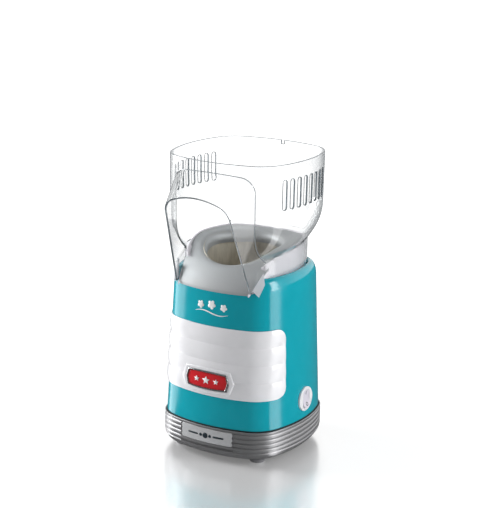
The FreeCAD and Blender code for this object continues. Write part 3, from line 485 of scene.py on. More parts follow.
def polycarbonate_edge():
    """Cut edge of the clear wall: grey, because the light that it carries along the wall is spent."""
    material, tree, output, coords = new_material("polycarbonate_edge")
    # Moulding ripple about 5 mm long.
    pattern, normal = grain(tree, coords, 5 * MM, 0.01 * MM)
    shader = add(tree, "ShaderNodeBsdfPrincipled", {"Transmission Weight": 0.4, "IOR": 1.585},
                 {"Base Color": tinted(tree, pattern, linear("#8A9298"), 0.06), "Normal": normal,
                  "Roughness": varied(tree, pattern, 0.1, 0.2)})
    tree.links.new(shader.outputs[0], output.inputs[0])
    return material


def frosted_polycarbonate():
    """The same polycarbonate with a fine matt texture on it, so it passes light but looks pale."""
    material, tree, output, coords = new_material("frosted_polycarbonate")
    # Spark-eroded grain of 0.3 mm, drawn at 0.6 mm.
    pattern, normal = grain(tree, coords, 0.6 * MM, 0.03 * MM)
    shader = add(tree, "ShaderNodeBsdfPrincipled", {"Transmission Weight": 0.45, "IOR": 1.585},
                 {"Base Color": tinted(tree, pattern, linear("#E6E6EA"), 0.03), "Normal": normal,
                  "Roughness": varied(tree, pattern, 0.3, 0.45)})
    tree.links.new(shader.outputs[0], output.inputs[0])
    return material


def nitrile_rubber(name, colour):
    """Moulded rubber: dark, matt, with a slight bloom."""
    return textured_plastic(name, colour, 0.75, 1.2 * MM, 0.04 * MM)


def make_finishes(colours):
    """Every finish by the name of the frame's material slot that it stands for."""
    brushed_x = (0.06, 1, 1)     # brush lines run along X: the noise is stretched about sixteen times there
    return {
        "turquoise": gloss_abs("gloss_abs_turquoise", colours.housing),
        "white": gloss_abs("gloss_abs_white", colours.panel, 0.2),
        "switch_white": gloss_abs("nylon_white", colours.panel, 0.28, 0.1),
        "red": gloss_abs("enamel_red", colours.badge, 0.14, 0.5),
        "base_silver": metal("silver_paint", colours.base, 0.42, 0.35 * MM, 0.006 * MM, spread=0.1,
                             metallic=0.6, coat=0.2),
        "plate_silver": metal("brushed_aluminium", linear("#D2D3D5"), 0.32, 0.5 * MM, 0.006 * MM, brushed_x,
                              0.08, 0.3),
        "chrome_trim": metal("chrome_plate", linear("#DADADC"), 0.07, 6 * MM, 0.004 * MM, spread=0.02),
        "chute_grey": metal("satin_aluminium", colours.tray, 0.5, 0.4 * MM, 0.008 * MM, spread=0.04,
                            metallic=0.15),
        "chamber_alu": metal("heated_aluminium", linear("#CFC8BA"), 0.42, 2.5 * MM, 0.01 * MM,
                             (1, 1, 0.2), 0.12, 0.3),
        # The rocker's white is darker and more lavender-grey than the bezel's: painted shade on it.
        "rocker_white": gloss_abs("nylon_white_painted_shade", linear("#D8D4DF"), 0.3, 0.0),
        "clear_edge": polycarbonate_edge(),
        "collar_white": textured_plastic("pale_polypropylene", colours.collar, 0.38, 0.8 * MM, 0.02 * MM),
        "clear": clear_polycarbonate(),
        "frosted": frosted_polycarbonate(),
        "dark_plastic": textured_plastic("black_abs", linear("#26282A"), 0.5),
        # The dark teal ring between housing and base is painted shade of the gap there.
        "seal_black": nitrile_rubber("gap_shade_dark", linear("#0B2326")),
        "foot_rubber": nitrile_rubber("foot_rubber", linear("#8C8C90")),
        "terminal_brass": metal("brass", linear("#C9A557"), 0.3),
        "heater_steel": metal("aluminised_steel", linear("#B0B0AE"), 0.4, 3 * MM, 0.02 * MM),
        "mica": textured_plastic("mica_board", linear("#B09A78"), 0.45, 2.0 * MM, 0.05 * MM),
        "heater_wire": metal("resistance_wire", linear("#6E625A"), 0.5),
        "fan_plastic": textured_plastic("glass_filled_nylon", linear("#2E3032"), 0.55),
        "motor_steel": metal("zinc_plated_steel", linear("#B9BBC0"), 0.33, 1.5 * MM, 0.01 * MM),
        "magnet": textured_plastic("ferrite", linear("#3A3A3C"), 0.6, 0.8 * MM, 0.04 * MM),
        "board_green": gloss_abs("solder_mask_green", linear("#1E5A34"), 0.3, 0.0),
        "diode_black": textured_plastic("moulded_epoxy", linear("#1C1C1E"), 0.45, 0.4 * MM, 0.02 * MM),
        "screw_steel": metal("zinc_plate", linear("#C2C3C6"), 0.3, 0.8 * MM, 0.01 * MM),
        "mark_grey": textured_plastic("pad_print_grey", linear("#3C4846"), 0.5),
        "mark_white": gloss_abs("pad_print_white", linear("#F2F2F2"), 0.3, 0.0),
        "mark_dark": textured_plastic("pad_print_dark", linear("#1C2F38"), 0.5),
    }


FINISHES = {}


# --- housing -------------------------------------------------------------------------------------
def housing_half(sizes, height):
    """Half the housing's width, which narrows evenly from its foot to its shoulder."""
    shoulder_z = BODY_HIGH.z - sizes.shoulder
    share = (np.asarray(height) - BODY_LOW.z - HOUSING_SINK) / (shoulder_z - BODY_LOW.z - HOUSING_SINK)
    return sizes.foot_half + (sizes.head_half - sizes.foot_half) * share


HOUSING_SINK = 25.5 * MM     # the housing's posts reach this far below its wall
CHUTE_EDGE_Z = 171.6 * MM    # top of the housing's wall under the chute
NOTCH_HALF, NOTCH_END = 42.0 * MM, 55.0 * MM    # the wall rises to its full height between these
HEAD_GAP = 0.35 * MM         # between the housing's head and the hood's skirt


def housing_path(sizes, skirt_half, count):
    """Half width and height up the housing's wall, over an elliptic shoulder and down the lip."""
    foot_z = BODY_LOW.z + HOUSING_SINK
    shoulder_z = BODY_HIGH.z - sizes.shoulder
    lip_half = skirt_half + HEAD_GAP
    wall_z = np.linspace(foot_z, shoulder_z, count, endpoint=False)
    angle = np.linspace(0, QUARTER, count)
    inset = sizes.head_half - lip_half - 2.2 * MM
    over = sizes.head_half - inset * (1 - np.cos(angle)), shoulder_z + sizes.shoulder * np.sin(angle)
    turn = np.linspace(0, QUARTER, 7)[1:]
    roll = lip_half + 2.2 * MM - 2.2 * MM * np.sin(turn), BODY_HIGH.z - 2.2 * MM * (1 - np.cos(turn))
    down_z = np.linspace(roll[1][-1], roll[1][-1] - 5 * MM, 4)[1:]
    half = np.concatenate([housing_half(sizes, wall_z), over[0], roll[0], np.full(3, lip_half)])
    height = np.concatenate([wall_z, over[1], roll[1], down_z])
    return half, height


def make_housing(settings):
    """Outer face, rounded edge and inner face, row by row: each column follows the path up to its own end.

    The path ends at the lip inside the head, but at the front it ends lower, where the chute runs out over
    the wall. The inner face is the outer one moved in along the normal, with a half circle between them.
    """
    sizes, skirt_half = settings.housing_sizes, settings.hood_sizes.skirt_half
    half, height = housing_path(sizes, skirt_half, 40)
    run = np.concatenate([[0], np.cumsum(np.hypot(np.diff(half), np.diff(height)))])
    turns = np.arange(384) / 384
    point, _ = around(turns)
    reach = np.abs(point[:, 0]) * sizes.head_half
    at_front = point[:, 1] < 0
    low_end = np.interp(CHUTE_EDGE_Z, height[:60], run[:60])
    rise = np.where(at_front, smooth_step(reach, NOTCH_HALF, NOTCH_END), 1.0)
    end = low_end + (run[-1] - low_end) * rise
    share = np.linspace(0, 1, 90)[:, None]
    # Rows crowd towards the shoulder, where the path bends.
    along = end * (1 - (1 - share) ** 1.5)
    outer_half, outer_z = np.interp(along, run, half), np.interp(along, run, height)
    nudge = np.maximum(along - 0.05 * MM, 0), along + 0.05 * MM
    slope = [np.interp(nudge[1], run, values) - np.interp(nudge[0], run, values) for values in (half, height)]
    length = np.hypot(*slope)
    tangent = slope[0] / length, slope[1] / length
    wall = sizes.wall
    columns = np.broadcast_to(turns, outer_half.shape)
    outer = on_outline(columns, outer_half, 0 * outer_half, outer_z)
    inner = on_outline(columns, outer_half, -wall * tangent[1], outer_z + wall * tangent[0])
    swing = np.linspace(0, math.pi, 8)[1:-1, None]
    inward, onward = wall / 2 * (1 - np.cos(swing)), wall / 2 * np.sin(swing)
    edge_lift = -inward * tangent[1][-1] + onward * tangent[0][-1]
    edge_z = outer_z[-1] + inward * tangent[0][-1] + onward * tangent[1][-1]
    edge = on_outline(np.broadcast_to(turns, edge_lift.shape),
                      np.broadcast_to(outer_half[-1], edge_lift.shape), edge_lift, edge_z)
    form = Form()
    form.grid(np.concatenate([outer, edge, inner[::-1]]), wrap_rows=True, wrap_cols=True)
    form.finish("housing_shell", FINISHES["turquoise"], "housing", ["body_shell"], "turquoise")


# --- front panel and badge -----------------------------------------------------------------------
def on_housing(sizes, across, height, lift):
    """Point on the housing's wall: across is measured round the front at the panel's middle height."""
    middle = housing_half(sizes, (PANEL_LOW.z + PANEL_HIGH.z) / 2)
    turn = np.asarray(across) / (GIRTH * middle)
    return on_outline(turn, housing_half(sizes, height), lift, height)


def wrapped_sheet(sizes, loops, spacing, lift, creases=()):
    """A sheet laid on the housing: lift says how far each point stands out."""
    flat, faces = cut_sheet(loops, spacing, creases)
    form = Form()
    form.add(on_housing(sizes, flat[:, 0], flat[:, 1], lift(flat)), faces)
    return form


def even_loop(loop, count):
    """Closed loop with its points spread evenly along it."""
    closed = np.vstack([loop, loop[:1]])
    run = np.concatenate([[0], np.cumsum(np.linalg.norm(np.diff(closed, axis=0), axis=1))])
    at = np.arange(count) / count * run[-1]
    return np.stack([np.interp(at, run, closed[:, 0]), np.interp(at, run, closed[:, 1])], -1)


def moulding(sizes, outer, inner, profile, count=240):
    """Ring on the housing between two loops.

    Each profile row gives the share of the way in, and how far the ring stands out there in millimetres.
    """
    outer, inner = even_loop(outer, count), even_loop(inner, count)
    share, lift = (np.array(column)[:, None] for column in zip(*profile))
    across = outer[:, 0] + (inner[:, 0] - outer[:, 0]) * share
    height = outer[:, 1] + (inner[:, 1] - outer[:, 1]) * share
    form = Form()
    form.grid(on_housing(sizes, across, height, lift * MM + 0 * across), wrap_rows=True, wrap_cols=True)
    return form


def badge_loop(half_w, half_h, point, crown, spacing=0.9 * MM):
    """Badge outline: crowned top and bottom, ends with a shallow point."""
    middle_z = (INSERT_LOW.z + INSERT_HIGH.z) / 2
    share = np.linspace(-1, 1, 7)[:, None]
    top = np.hstack([share * (half_w - point), half_h - crown * share ** 2])
    corners = np.vstack([[[-half_w, 0]], top, [[half_w, 0]], -top])
    loop = rounded_loop(corners[::-1], 0.9 * MM, spacing)
    return loop + [0, middle_z]


def make_front_panel(settings):
    """Wrap with shallow convex bands, whose lift falls with the square of the distance from their middles."""
    sizes = settings.housing_sizes
    low, high = PANEL_LOW.z, PANEL_HIGH.z
    middle = housing_half(sizes, (low + high) / 2)
    turns = np.linspace(0, 0.25, 400)
    end = np.interp(PANEL_HIGH.y, (around(turns)[0][:, 1]) * middle, turns) * GIRTH * middle
    loop = rounded_loop([(-end, low), (end, low), (end, high), (-end, high)], 11 * MM, 2.4 * MM)
    pitch = (high - low) / sizes.bands
    seams = [low + pitch * k for k in range(1, sizes.bands)]
    creases = [line((-end - MM, z), (end + MM, z), 2.4 * MM) for z in seams]

    def lift(flat):
        share = (flat[:, 1] - low) / pitch
        offset = 2 * (share - np.clip(np.floor(share), 0, sizes.bands - 1)) - 1
        inside_end = 1 - smooth_step(np.abs(flat[:, 0]), end - 7 * MM, end - 1.5 * MM)
        return sizes.panel_lift + 0.3 * MM - sizes.band_depth * offset ** 2 * (0.25 + 0.75 * inside_end)

    panel = wrapped_sheet(sizes, [loop], 2.4 * MM, lift, creases)
    panel = panel.finish("front_wrap", FINISHES["white"], "housing", ["front_panel"], "white", sharp=12.0)
    thicken(panel, 1.2 * MM, 0.5 * MM)
    outer = badge_loop(28.6 * MM, 12.6 * MM, 3.6 * MM, 1.6 * MM)
    hole = badge_loop(23.9 * MM, 9.4 * MM, 2.0 * MM, 0.9 * MM)
    profile = [(0.0, 0.2), (0.0, 2.2), (0.03, 2.6), (0.1, 3.0), (0.22, 3.2), (0.4, 3.3), (0.75, 3.25),
               (0.92, 3.1), (1.0, 2.8), (1.0, 1.1)]
    moulding(sizes, outer, hole, profile).finish("badge_surround", FINISHES["white"], "housing", slot="white")


def star_loop(centre, radius):
    """Five-pointed star with an inner radius 0.45 of the outer one."""
    angle = QUARTER + np.arange(10) * math.pi / 5
    reach = np.where(np.arange(10) % 2 == 0, radius, 0.45 * radius)
    return np.stack([np.cos(angle) * reach, np.sin(angle) * reach], -1) + centre


def make_badge(settings):
    """Chrome frame, a gently domed enamelled plate, and three plain stars."""
    sizes = settings.housing_sizes
    middle_z = (INSERT_LOW.z + INSERT_HIGH.z) / 2
    outer = badge_loop(23.6 * MM, 9.2 * MM, 2.0 * MM, 0.9 * MM, 0.7 * MM)
    hole = badge_loop(21.7 * MM, 7.6 * MM, 1.7 * MM, 0.8 * MM, 0.7 * MM)
    profile = [(0.0, 1.4), (0.0, 3.0), (0.06, 3.4), (0.2, 3.65), (0.45, 3.8), (0.75, 3.7), (0.94, 3.4),
               (1.0, 3.0), (1.0, 1.4)]
    rim = moulding(sizes, outer, hole, profile)
    rim.finish("badge_rim", FINISHES["chrome_trim"], "housing", ["badge_frame"], "chrome_trim", sharp=80.0)

    def dome(flat):
        away = 1 - (flat[:, 0] / (22 * MM)) ** 4 - 0.6 * ((flat[:, 1] - middle_z) / (8 * MM)) ** 2
        return (2.6 + 0.7 * np.clip(away, 0, 1)) * MM

    field = badge_loop(21.6 * MM, 7.5 * MM, 1.7 * MM, 0.8 * MM, 0.9 * MM)
    plate = wrapped_sheet(sizes, [field], 1.2 * MM, dome)
    plate = plate.finish("badge_plate", FINISHES["red"], "housing", ["badge_insert"], "red")
    thicken(plate, 1.2 * MM)
    form = Form()
    for x, radius in ((-10.5, 3.0), (0, 4.2), (10.5, 3.0)):
        flat, faces = cut_sheet([star_loop((x * MM, middle_z), radius * MM)], 1.0 * MM)
        form.add(on_housing(sizes, flat[:, 0], flat[:, 1], dome(flat) + 0.35 * MM), faces)
    stars = form.finish("badge_stars", FINISHES["mark_white"], "housing", slot="white", sharp=25.0)
    thicken(stars, 0.5 * MM)


def puff_loop(centre, radius):
    """Outline of a popped kernel: a circle whose radius swells and dips five times round."""
    angle = np.linspace(0, 2 * math.pi, 60, endpoint=False)
    reach = radius * (0.66 + 0.34 * np.abs(np.cos(2.5 * angle + 0.4)))
    return np.stack([np.cos(angle) * reach, np.sin(angle) * reach], -1) + centre


def make_print(settings):
    """Three popped kernels over a tapered wave, printed in white on the housing above the panel."""
    sizes = settings.housing_sizes
    form = Form()
    for x, z, radius in ((-11.5, 156.0, 4.0), (1.5, 157.4, 4.6), (15.0, 155.8, 3.8)):
        flat, faces = cut_sheet([puff_loop((x * MM, z * MM), radius * MM)], 1.2 * MM)
        form.add(on_housing(sizes, flat[:, 0], flat[:, 1], np.full(len(flat), 0.12 * MM)), faces)
    share = np.linspace(0, 1, 61)
    line_x = (-18 + 38 * share) * MM
    line_z = (149.2 + 1.6 * np.sin(2 * math.pi * share)) * MM
    half_t = (0.12 + 0.55 * np.sin(math.pi * share)) * MM
    stroke = np.stack([line_z - half_t, line_z + half_t])
    form.grid(on_housing(sizes, np.stack([line_x, line_x]), stroke, np.full((2, 61), 0.12 * MM)))
    mark = form.finish("housing_print", FINISHES["mark_white"], "housing", slot="white")
    thicken(mark, 0.16 * MM)


# --- base ----------------------------------------------------------------------------------------
PLATE_END = 30.6 * MM        # half the length of the recess for the name plate
# The base's lip stays this low so that the dark ring of painted gap shade shows above it.
DARK_RING_SHOWS = 1.2 * MM        # how far the base's lip stays under the top of its frame node
FIRST_GROOVE = 4.1 * MM      # from the top of the frame node to the uppermost groove


def make_base(settings):
    """Ribbed skirt: up its bowl, over its ribs, over its rounded lip and down its inner face.

    A rib bulges as half an ellipse between two grooves. Round the name plate the ribs stop at a flat recess,
    with rows and columns of points close on both sides of its edges.
    """
    sizes = settings.base_sizes
    top, lip = BASE_HIGH.z - DARK_RING_SHOWS, 1.2 * MM
    angle = np.linspace(0, QUARTER, 16)
    bowl_half = sizes.sole_half + (sizes.half - sizes.sole_half) * np.sin(angle)
    bowl_z = BASE_LOW.z + (sizes.bowl_top - BASE_LOW.z) * (1 - np.cos(angle))
    first = BASE_HIGH.z - FIRST_GROOVE
    grooves = first - sizes.rib_pitch * np.arange(sizes.ribs)
    step = 0.02 * MM
    edges = [z + k * step for z in (PLATE_LOW.z - 0.2 * MM, PLATE_HIGH.z + 0.2 * MM) for k in (-1, 1)]
    rise_z = np.unique(np.concatenate([np.linspace(sizes.bowl_top, top - 0.6 * MM, 170)[1:], grooves, edges]))
    roll = np.linspace(0, math.pi, 9)[1:]
    outer_half = np.concatenate([bowl_half, np.full(len(rise_z), sizes.half)])
    outer_z = np.concatenate([bowl_z, rise_z])
    below = first - outer_z
    share = np.mod(below, sizes.rib_pitch) / sizes.rib_pitch * 2 - 1
    above = (outer_z - first) / (top - first)
    rib, lip_rib = (np.sqrt(np.clip(1 - square, 0, 1)) for square in (share ** 2, (1 - above) ** 2))
    swell = np.where(below >= 0, rib, lip_rib)
    in_ribs = (outer_z > grooves[-1] - 0.01 * MM)
    groove = np.where(in_ribs, sizes.rib_depth * (1 - swell), 0.0)
    fade = np.clip((grooves[-1] - outer_z) / (1.6 * MM), 0, 1)
    groove = np.where(in_ribs, groove, sizes.rib_depth * (1 - np.sqrt(1 - (1 - fade) ** 2)))
    edge_x = [-PLATE_END - step, -PLATE_END + step, PLATE_END - step, PLATE_END + step]
    front = front_turn(np.array(edge_x), sizes.half)
    turns = np.unique(np.concatenate([np.arange(360) / 360, np.mod(front, 1.0)]))
    wrapped = np.where(turns > 0.5, turns - 1, turns)
    at_plate = np.abs(wrapped) < front_turn(PLATE_END, sizes.half)
    in_plate = (outer_z > PLATE_LOW.z - 0.2 * MM) & (outer_z < PLATE_HIGH.z + 0.2 * MM)
    lift = np.where(at_plate[None, :], 0.0, -groove[:, None])
    lift = np.where(at_plate[None, :] & (outer_z > PLATE_HIGH.z)[:, None], -groove[:, None], lift)
    lift = np.where(at_plate[None, :] & in_plate[:, None], -1.3 * MM, lift)
    shape = lift.shape
    columns = np.broadcast_to(turns, shape)
    outer = on_outline(columns, np.broadcast_to(outer_half[:, None], shape), lift, outer_z[:, None])
    roll_lift = -lip / 2 * (1 - np.cos(roll)) + lift[-1][0] * (1 - np.sin(roll / 2))
    roll_z = top - 0.6 * MM + 0.6 * MM * np.sin(roll)
    inner = [(-lip, top - 3 * MM), (-3 * MM, top - 3 * MM), (-3 * MM, sizes.bowl_top)]
    edge_rows = [on_outline(turns, np.full(len(turns), sizes.half), np.full(len(turns), a), b)
                 for a, b in zip(roll_lift, roll_z)]
    inner_rows = [on_outline(turns, np.full(len(turns), sizes.half), np.full(len(turns), a), b)
                  for a, b in inner]
    sole = (-3 * MM, 10 * MM), (-3 * MM, BASE_LOW.z + MM), (-6 * MM, BASE_LOW.z + MM), (-6 * MM, BASE_LOW.z)
    inner_rows += [on_outline(turns, np.full(len(turns), sizes.sole_half), np.full(len(turns), a), b)
                   for a, b in sole]
    form = Form()
    rows = np.concatenate([outer, np.array(edge_rows), np.array(inner_rows)])
    form.grid(rows, wrap_rows=True, wrap_cols=True)
    form.finish("base_ribs", FINISHES["base_silver"], "housing", ["base_skirt"], "base_silver", sharp=42.0)
    make_name_plate(settings, grooves)
    make_gap_shade_ring(settings)


def make_gap_shade_ring(settings):
    """Painted shade in the gap between housing and base: a dark, rounded bead on the housing's outline."""
    half = housing_half(settings.housing_sizes, BASE_HIGH.z)
    rows = [(0.05, -3.0), (0.05, -0.1), (0.3, 0.0), (0.6, -0.15), (0.75, -0.5), (0.75, -3.0)]
    turns = np.arange(240) / 240
    ring = [on_outline(turns, np.full(240, half), np.full(240, lift * MM), BASE_HIGH.z + drop * MM)
            for lift, drop in rows]
    form = Form()
    form.grid(np.array(ring), wrap_rows=True, wrap_cols=True)
    # Painted shade: this dark ring stands in for the shade in the gap between housing and base.
    form.finish("gap_shade_ring", FINISHES["seal_black"], "housing", ["seam_gasket"], "seal_black")


def make_name_plate(settings, grooves):
    """Flat plate in the base's recess: its ends swell out between the grooves. A plain motif lies on it."""
    sizes = settings.base_sizes
    low, high = PLATE_LOW.z + 0.1 * MM, PLATE_HIGH.z - 0.1 * MM
    end_z = np.linspace(low, high, 31)
    swell = 1.5 * MM * np.abs(np.sin((end_z - grooves[0]) / sizes.rib_pitch * math.pi))
    right = np.stack([PLATE_END - 2.5 * MM + swell, end_z], -1)
    left = np.stack([-right[::-1, 0], right[::-1, 1]], -1)
    top = line(right[-1], left[0], 1.5 * MM)[1:]
    bottom = line(left[-1], right[0], 1.5 * MM)[1:]
    loop = np.concatenate([right, top, left, bottom])

    def on_base(flat, lift):
        turn = flat[:, 0] / (GIRTH * sizes.half)
        return on_outline(turn, np.full(len(flat), sizes.half), np.full(len(flat), lift), flat[:, 1])

    flat, faces = cut_sheet([loop], 1.6 * MM)
    form = Form()
    form.add(on_base(flat, -0.1 * MM), faces)
    plate = form.finish("name_plate_blank", FINISHES["plate_silver"], "housing", ["name_plate"],
                        "plate_silver")
    thicken(plate, 1.0 * MM, 0.3 * MM, 2)
    middle = (low + high) / 2
    motif = Form()
    bars = [(-14.5, 6.0), (14.5, 6.0)]
    low, high = middle - 0.9 * MM, middle + 0.9 * MM
    loops = []
    for x, w in bars:
        start, end = (x - w) * MM, (x + w) * MM
        loops.append(rounded_loop([(start, low), (end, low), (end, high), (start, high)], 0.8 * MM, MM))
    angle = np.linspace(0, 2 * math.pi, 40, endpoint=False)
    for x, radius in ((-5.2, 1.6), (0.0, 2.9), (5.2, 1.6)):
        across, up = radius * MM * np.cos(angle), radius * MM * np.sin(angle)
        loops.append(np.stack([x * MM + across, middle + up], -1))
    for outline in loops:
        flat, faces = cut_sheet([outline], 1.0 * MM)
        motif.add(on_base(flat, 0.05 * MM), faces)
    marks = motif.finish("name_plate_motif", FINISHES["mark_dark"], "housing", slot="seal_black")
    thicken(marks, 0.25 * MM)


# --- chute plate ---------------------------------------------------------------------------------
BEND_Y, BEND_R = 5.0 * MM, 83.5 * MM    # the plate bends down ahead of this line, at this radius
FACE_CROWN = 1 / (2 * FACE_RADIUS * 63.8 * MM)    # how the housing's front falls back with the square of x


def chute_height(x, y):
    """Flat at the back, then an arc down to the front, which comes to follow the housing's crowned front."""
    crown = FACE_CROWN * x ** 2 * smooth_step(-y, 8 * MM, 50 * MM)
    ahead = np.clip(BEND_Y - y + crown, 0, BEND_R - 12 * MM)
    return CHUTE_HIGH.z - BEND_R + np.sqrt(BEND_R ** 2 - ahead ** 2)


def star_reach(loop, centre, angles):
    """Distance from centre to a star-shaped loop in each direction."""
    away = loop - centre
    heading = np.arctan2(away[:, 1], away[:, 0])
    order = np.argsort(heading)
    return np.interp(angles, heading[order], np.hypot(*away[order].T), period=2 * math.pi)


def chute_loop(settings):
    """The plate from above: a crowned square with a tongue that narrows to the mouth at the front wall."""
    half = settings.hood_sizes.skirt_half - 3.9 * MM
    turns = np.arange(1440) / 1440
    ring = around(turns)[0] * half
    foot, side = settings.hood_sizes.mouth_foot_half - 2.4 * MM, 46.4 * MM
    x = np.linspace(-foot, foot, 120)
    front_half = settings.housing_sizes.head_half + 0.3 * MM
    point = around(front_turn(x, front_half))[0] * front_half
    leg_y = np.linspace(point[-1, 1], -43 * MM, 60)
    leg_x = foot + (side - foot) * (leg_y - leg_y[0]) / (leg_y[-1] - leg_y[0])
    back_y = np.linspace(-43 * MM, -33.5 * MM, 30)
    legs = np.concatenate([np.stack([leg_x, leg_y], -1), np.stack([np.full(30, side), back_y], -1)])
    ring = ring[(ring[:, 1] > -33.5 * MM) | (np.abs(ring[:, 0]) > side)]
    return np.concatenate([ring, point, legs, legs * [-1, 1]])


def make_chute_plate(settings):
    """Rings of points from the mouth of the chamber out to the plate's edge, on the bent sheet's height.

    Near the mouth the sheet rolls down by a quarter circle, and at its edge it turns down as a short lip.
    """
    centre = np.array([(CUP_LOW.x + CUP_HIGH.x) / 2, (CUP_LOW.y + CUP_HIGH.y) / 2])
    mouth = (CUP_HIGH.x - CUP_LOW.x) / 2 - 3.7 * MM
    angles = np.linspace(-math.pi, math.pi, 360, endpoint=False)
    reach = star_reach(chute_loop(settings), centre, angles)
    direction = np.stack([np.cos(angles), np.sin(angles)], -1)
    roll_r = 7.0 * MM
    roll = np.linspace(0, QUARTER, 9)[:, None]
    drop = np.concatenate([[[11 * MM], [7 * MM]], roll_r * (1 - np.sin(roll))])
    out = np.concatenate([[[0.0], [0.0]], roll_r * (1 - np.cos(roll))])
    share = np.linspace(0, 1, 26)[1:, None] ** 0.9
    radius = np.concatenate([mouth + out + 0 * reach, mouth + roll_r + (reach - mouth - roll_r) * share])
    drop = np.concatenate([drop + 0 * reach, 0 * reach * share])
    flat = centre + radius[..., None] * direction
    height = chute_height(flat[..., 0], flat[..., 1]) - drop
    top = np.concatenate([flat, height[..., None]], -1)
    lip, inner = top[-1:].copy(), top[-1:].copy()
    lip[..., 2] -= 2.0 * MM
    inner[..., :2] -= 1.2 * MM * direction
    inner[..., 2] -= 2.0 * MM
    under = top[:-1].copy()
    under[..., 2] -= 1.3 * MM
    form = Form()
    form.grid(np.concatenate([top, lip, inner, under[::-1]]), wrap_rows=True, wrap_cols=True)
    plate = form.finish("chute_sheet", FINISHES["chute_grey"], "housing", ["chute_plate"], "chute_grey",
                        sharp=45.0)
    round_edges(plate, 0.35 * MM, 2, 60.0)


def make_cheeks(settings):
    """Pale cheeks beside the chute: thin walls from the collar's ends to the feet of the mouth.

    Each runs in a straight line between the two, from the housing's edge up to just over the chute plate.
    """
    share = np.linspace(0, 1, 24)
    y = (-38.0 - 22.0 * share) * MM
    foot = settings.hood_sizes.mouth_foot_half - 2.5 * MM
    outer = 48.6 * MM + (foot - 48.6 * MM) * share
    form = Form()
    for side in (-1, 1):
        inner = outer - 1.2 * MM
        top = chute_height(inner, y) + 0.6 * MM
        low = np.full(24, 172.9 * MM)
        corners = (outer, low), (outer, top), (inner, top), (inner, low)
        ring = np.stack([np.stack([side * x, y, z], -1) for x, z in corners], 1)
        form.grid(ring, wrap_cols=True)
        form.add(ring[0], [(0, 1, 2, 3)])
        form.add(ring[-1], [(3, 2, 1, 0)])
    form.finish("collar_cheeks", FINISHES["collar_white"], "housing", slot="collar_white")


# --- hood ----------------------------------------------------------------------------------------
TAPER_POWER = 2.3            # how quickly the taper fills out
TAPER_SLOPE = math.tan(math.radians(6.5))
MOUTH_FOOT_Z, MOUTH_FOOT_Y, MOUTH_LEAN = 173.5 * MM, -60.7 * MM, 0.38
ROOT_TOP_Z, ROOT_HALF, ROOT_FOOT_HALF = 287.0 * MM, 45.0 * MM, 49.3 * MM
SEAM_TURN = 0.375            # the hood's flat pattern is cut open at a back corner


def hood_half(sizes, level):
    """Half the hood's width: an even skirt, a taper by a power law, then a slight flare to the rim."""
    share = np.clip((level - sizes.taper_foot) / (sizes.taper_head - sizes.taper_foot), 0, 1)
    taper = sizes.waist_half - (sizes.waist_half - sizes.skirt_half) * (1 - share) ** TAPER_POWER
    flare = np.clip((level - sizes.taper_head) / (HOOD_HIGH.z - sizes.taper_head), 0, 1)
    return taper + (sizes.rim_half - sizes.waist_half) * flare


def on_hood(sizes, turn, height):
    """Point on the hood's outer face. The taper leans down to the front, less and less up to the rim."""
    point, _ = around(turn)
    level = np.array(height, float)
    for _ in range(6):
        fade = smooth_step(level, sizes.taper_foot - 18 * MM, sizes.taper_foot)
        fade = fade * np.clip((HOOD_HIGH.z - level) / (HOOD_HIGH.z - sizes.taper_head), 0, 1)
        level = height - point[..., 1] * hood_half(sizes, level) * TAPER_SLOPE * fade
    return on_outline(turn, hood_half(sizes, level), np.zeros(level.shape), height)


def arch(foot_half, waist_half, head_half, foot_z, top_z, corner, crown):
    """Arch from its left foot to its right: legs, round corners and a crowned top, all tangent."""
    slope = 0.3
    for _ in range(8):
        middle_half = head_half - corner * (1 - math.sin(slope))
        slope = math.atan(2 * crown / middle_half)
    leg_top = top_z - crown - corner * math.cos(slope)
    leg_z = np.linspace(foot_z, leg_top, 44, endpoint=False)
    share = (leg_z - foot_z) / (leg_top - foot_z)
    ease = 1 - (1 - np.clip(share / 0.45, 0, 1)) ** 2
    leg_x = foot_half + (waist_half - foot_half) * ease + (head_half - waist_half) * share
    swing = np.linspace(0, QUARTER - slope, 12, endpoint=False)
    bend_x = head_half - corner * (1 - np.cos(swing))
    bend_z = leg_top + corner * np.sin(swing)
    top_x = np.linspace(middle_half, -middle_half, 31)
    top_z = leg_top + corner * math.cos(slope) + crown * (1 - (top_x / middle_half) ** 2)
    x = np.concatenate([leg_x, bend_x, top_x, -bend_x[::-1], -leg_x[::-1]])
    z = np.concatenate([leg_z, bend_z, top_z, bend_z[::-1], leg_z[::-1]])
    return -x, z


def slot_loop(centre, half_w, low, high):
    """Upright slot with round ends, in the hood's flat pattern."""
    angle = np.linspace(0, math.pi, 9)
    top = np.stack([centre + half_w * np.cos(angle), high - half_w + half_w * np.sin(angle)], -1)
    bottom = np.stack([centre - half_w * np.cos(angle), low + half_w - half_w * np.sin(angle)], -1)
    side = 9
    left = np.linspace(top[-1], bottom[0], side)[1:-1]
    right = np.linspace(bottom[-1], top[0], side)[1:-1]
    return np.concatenate([top, left, bottom, right])


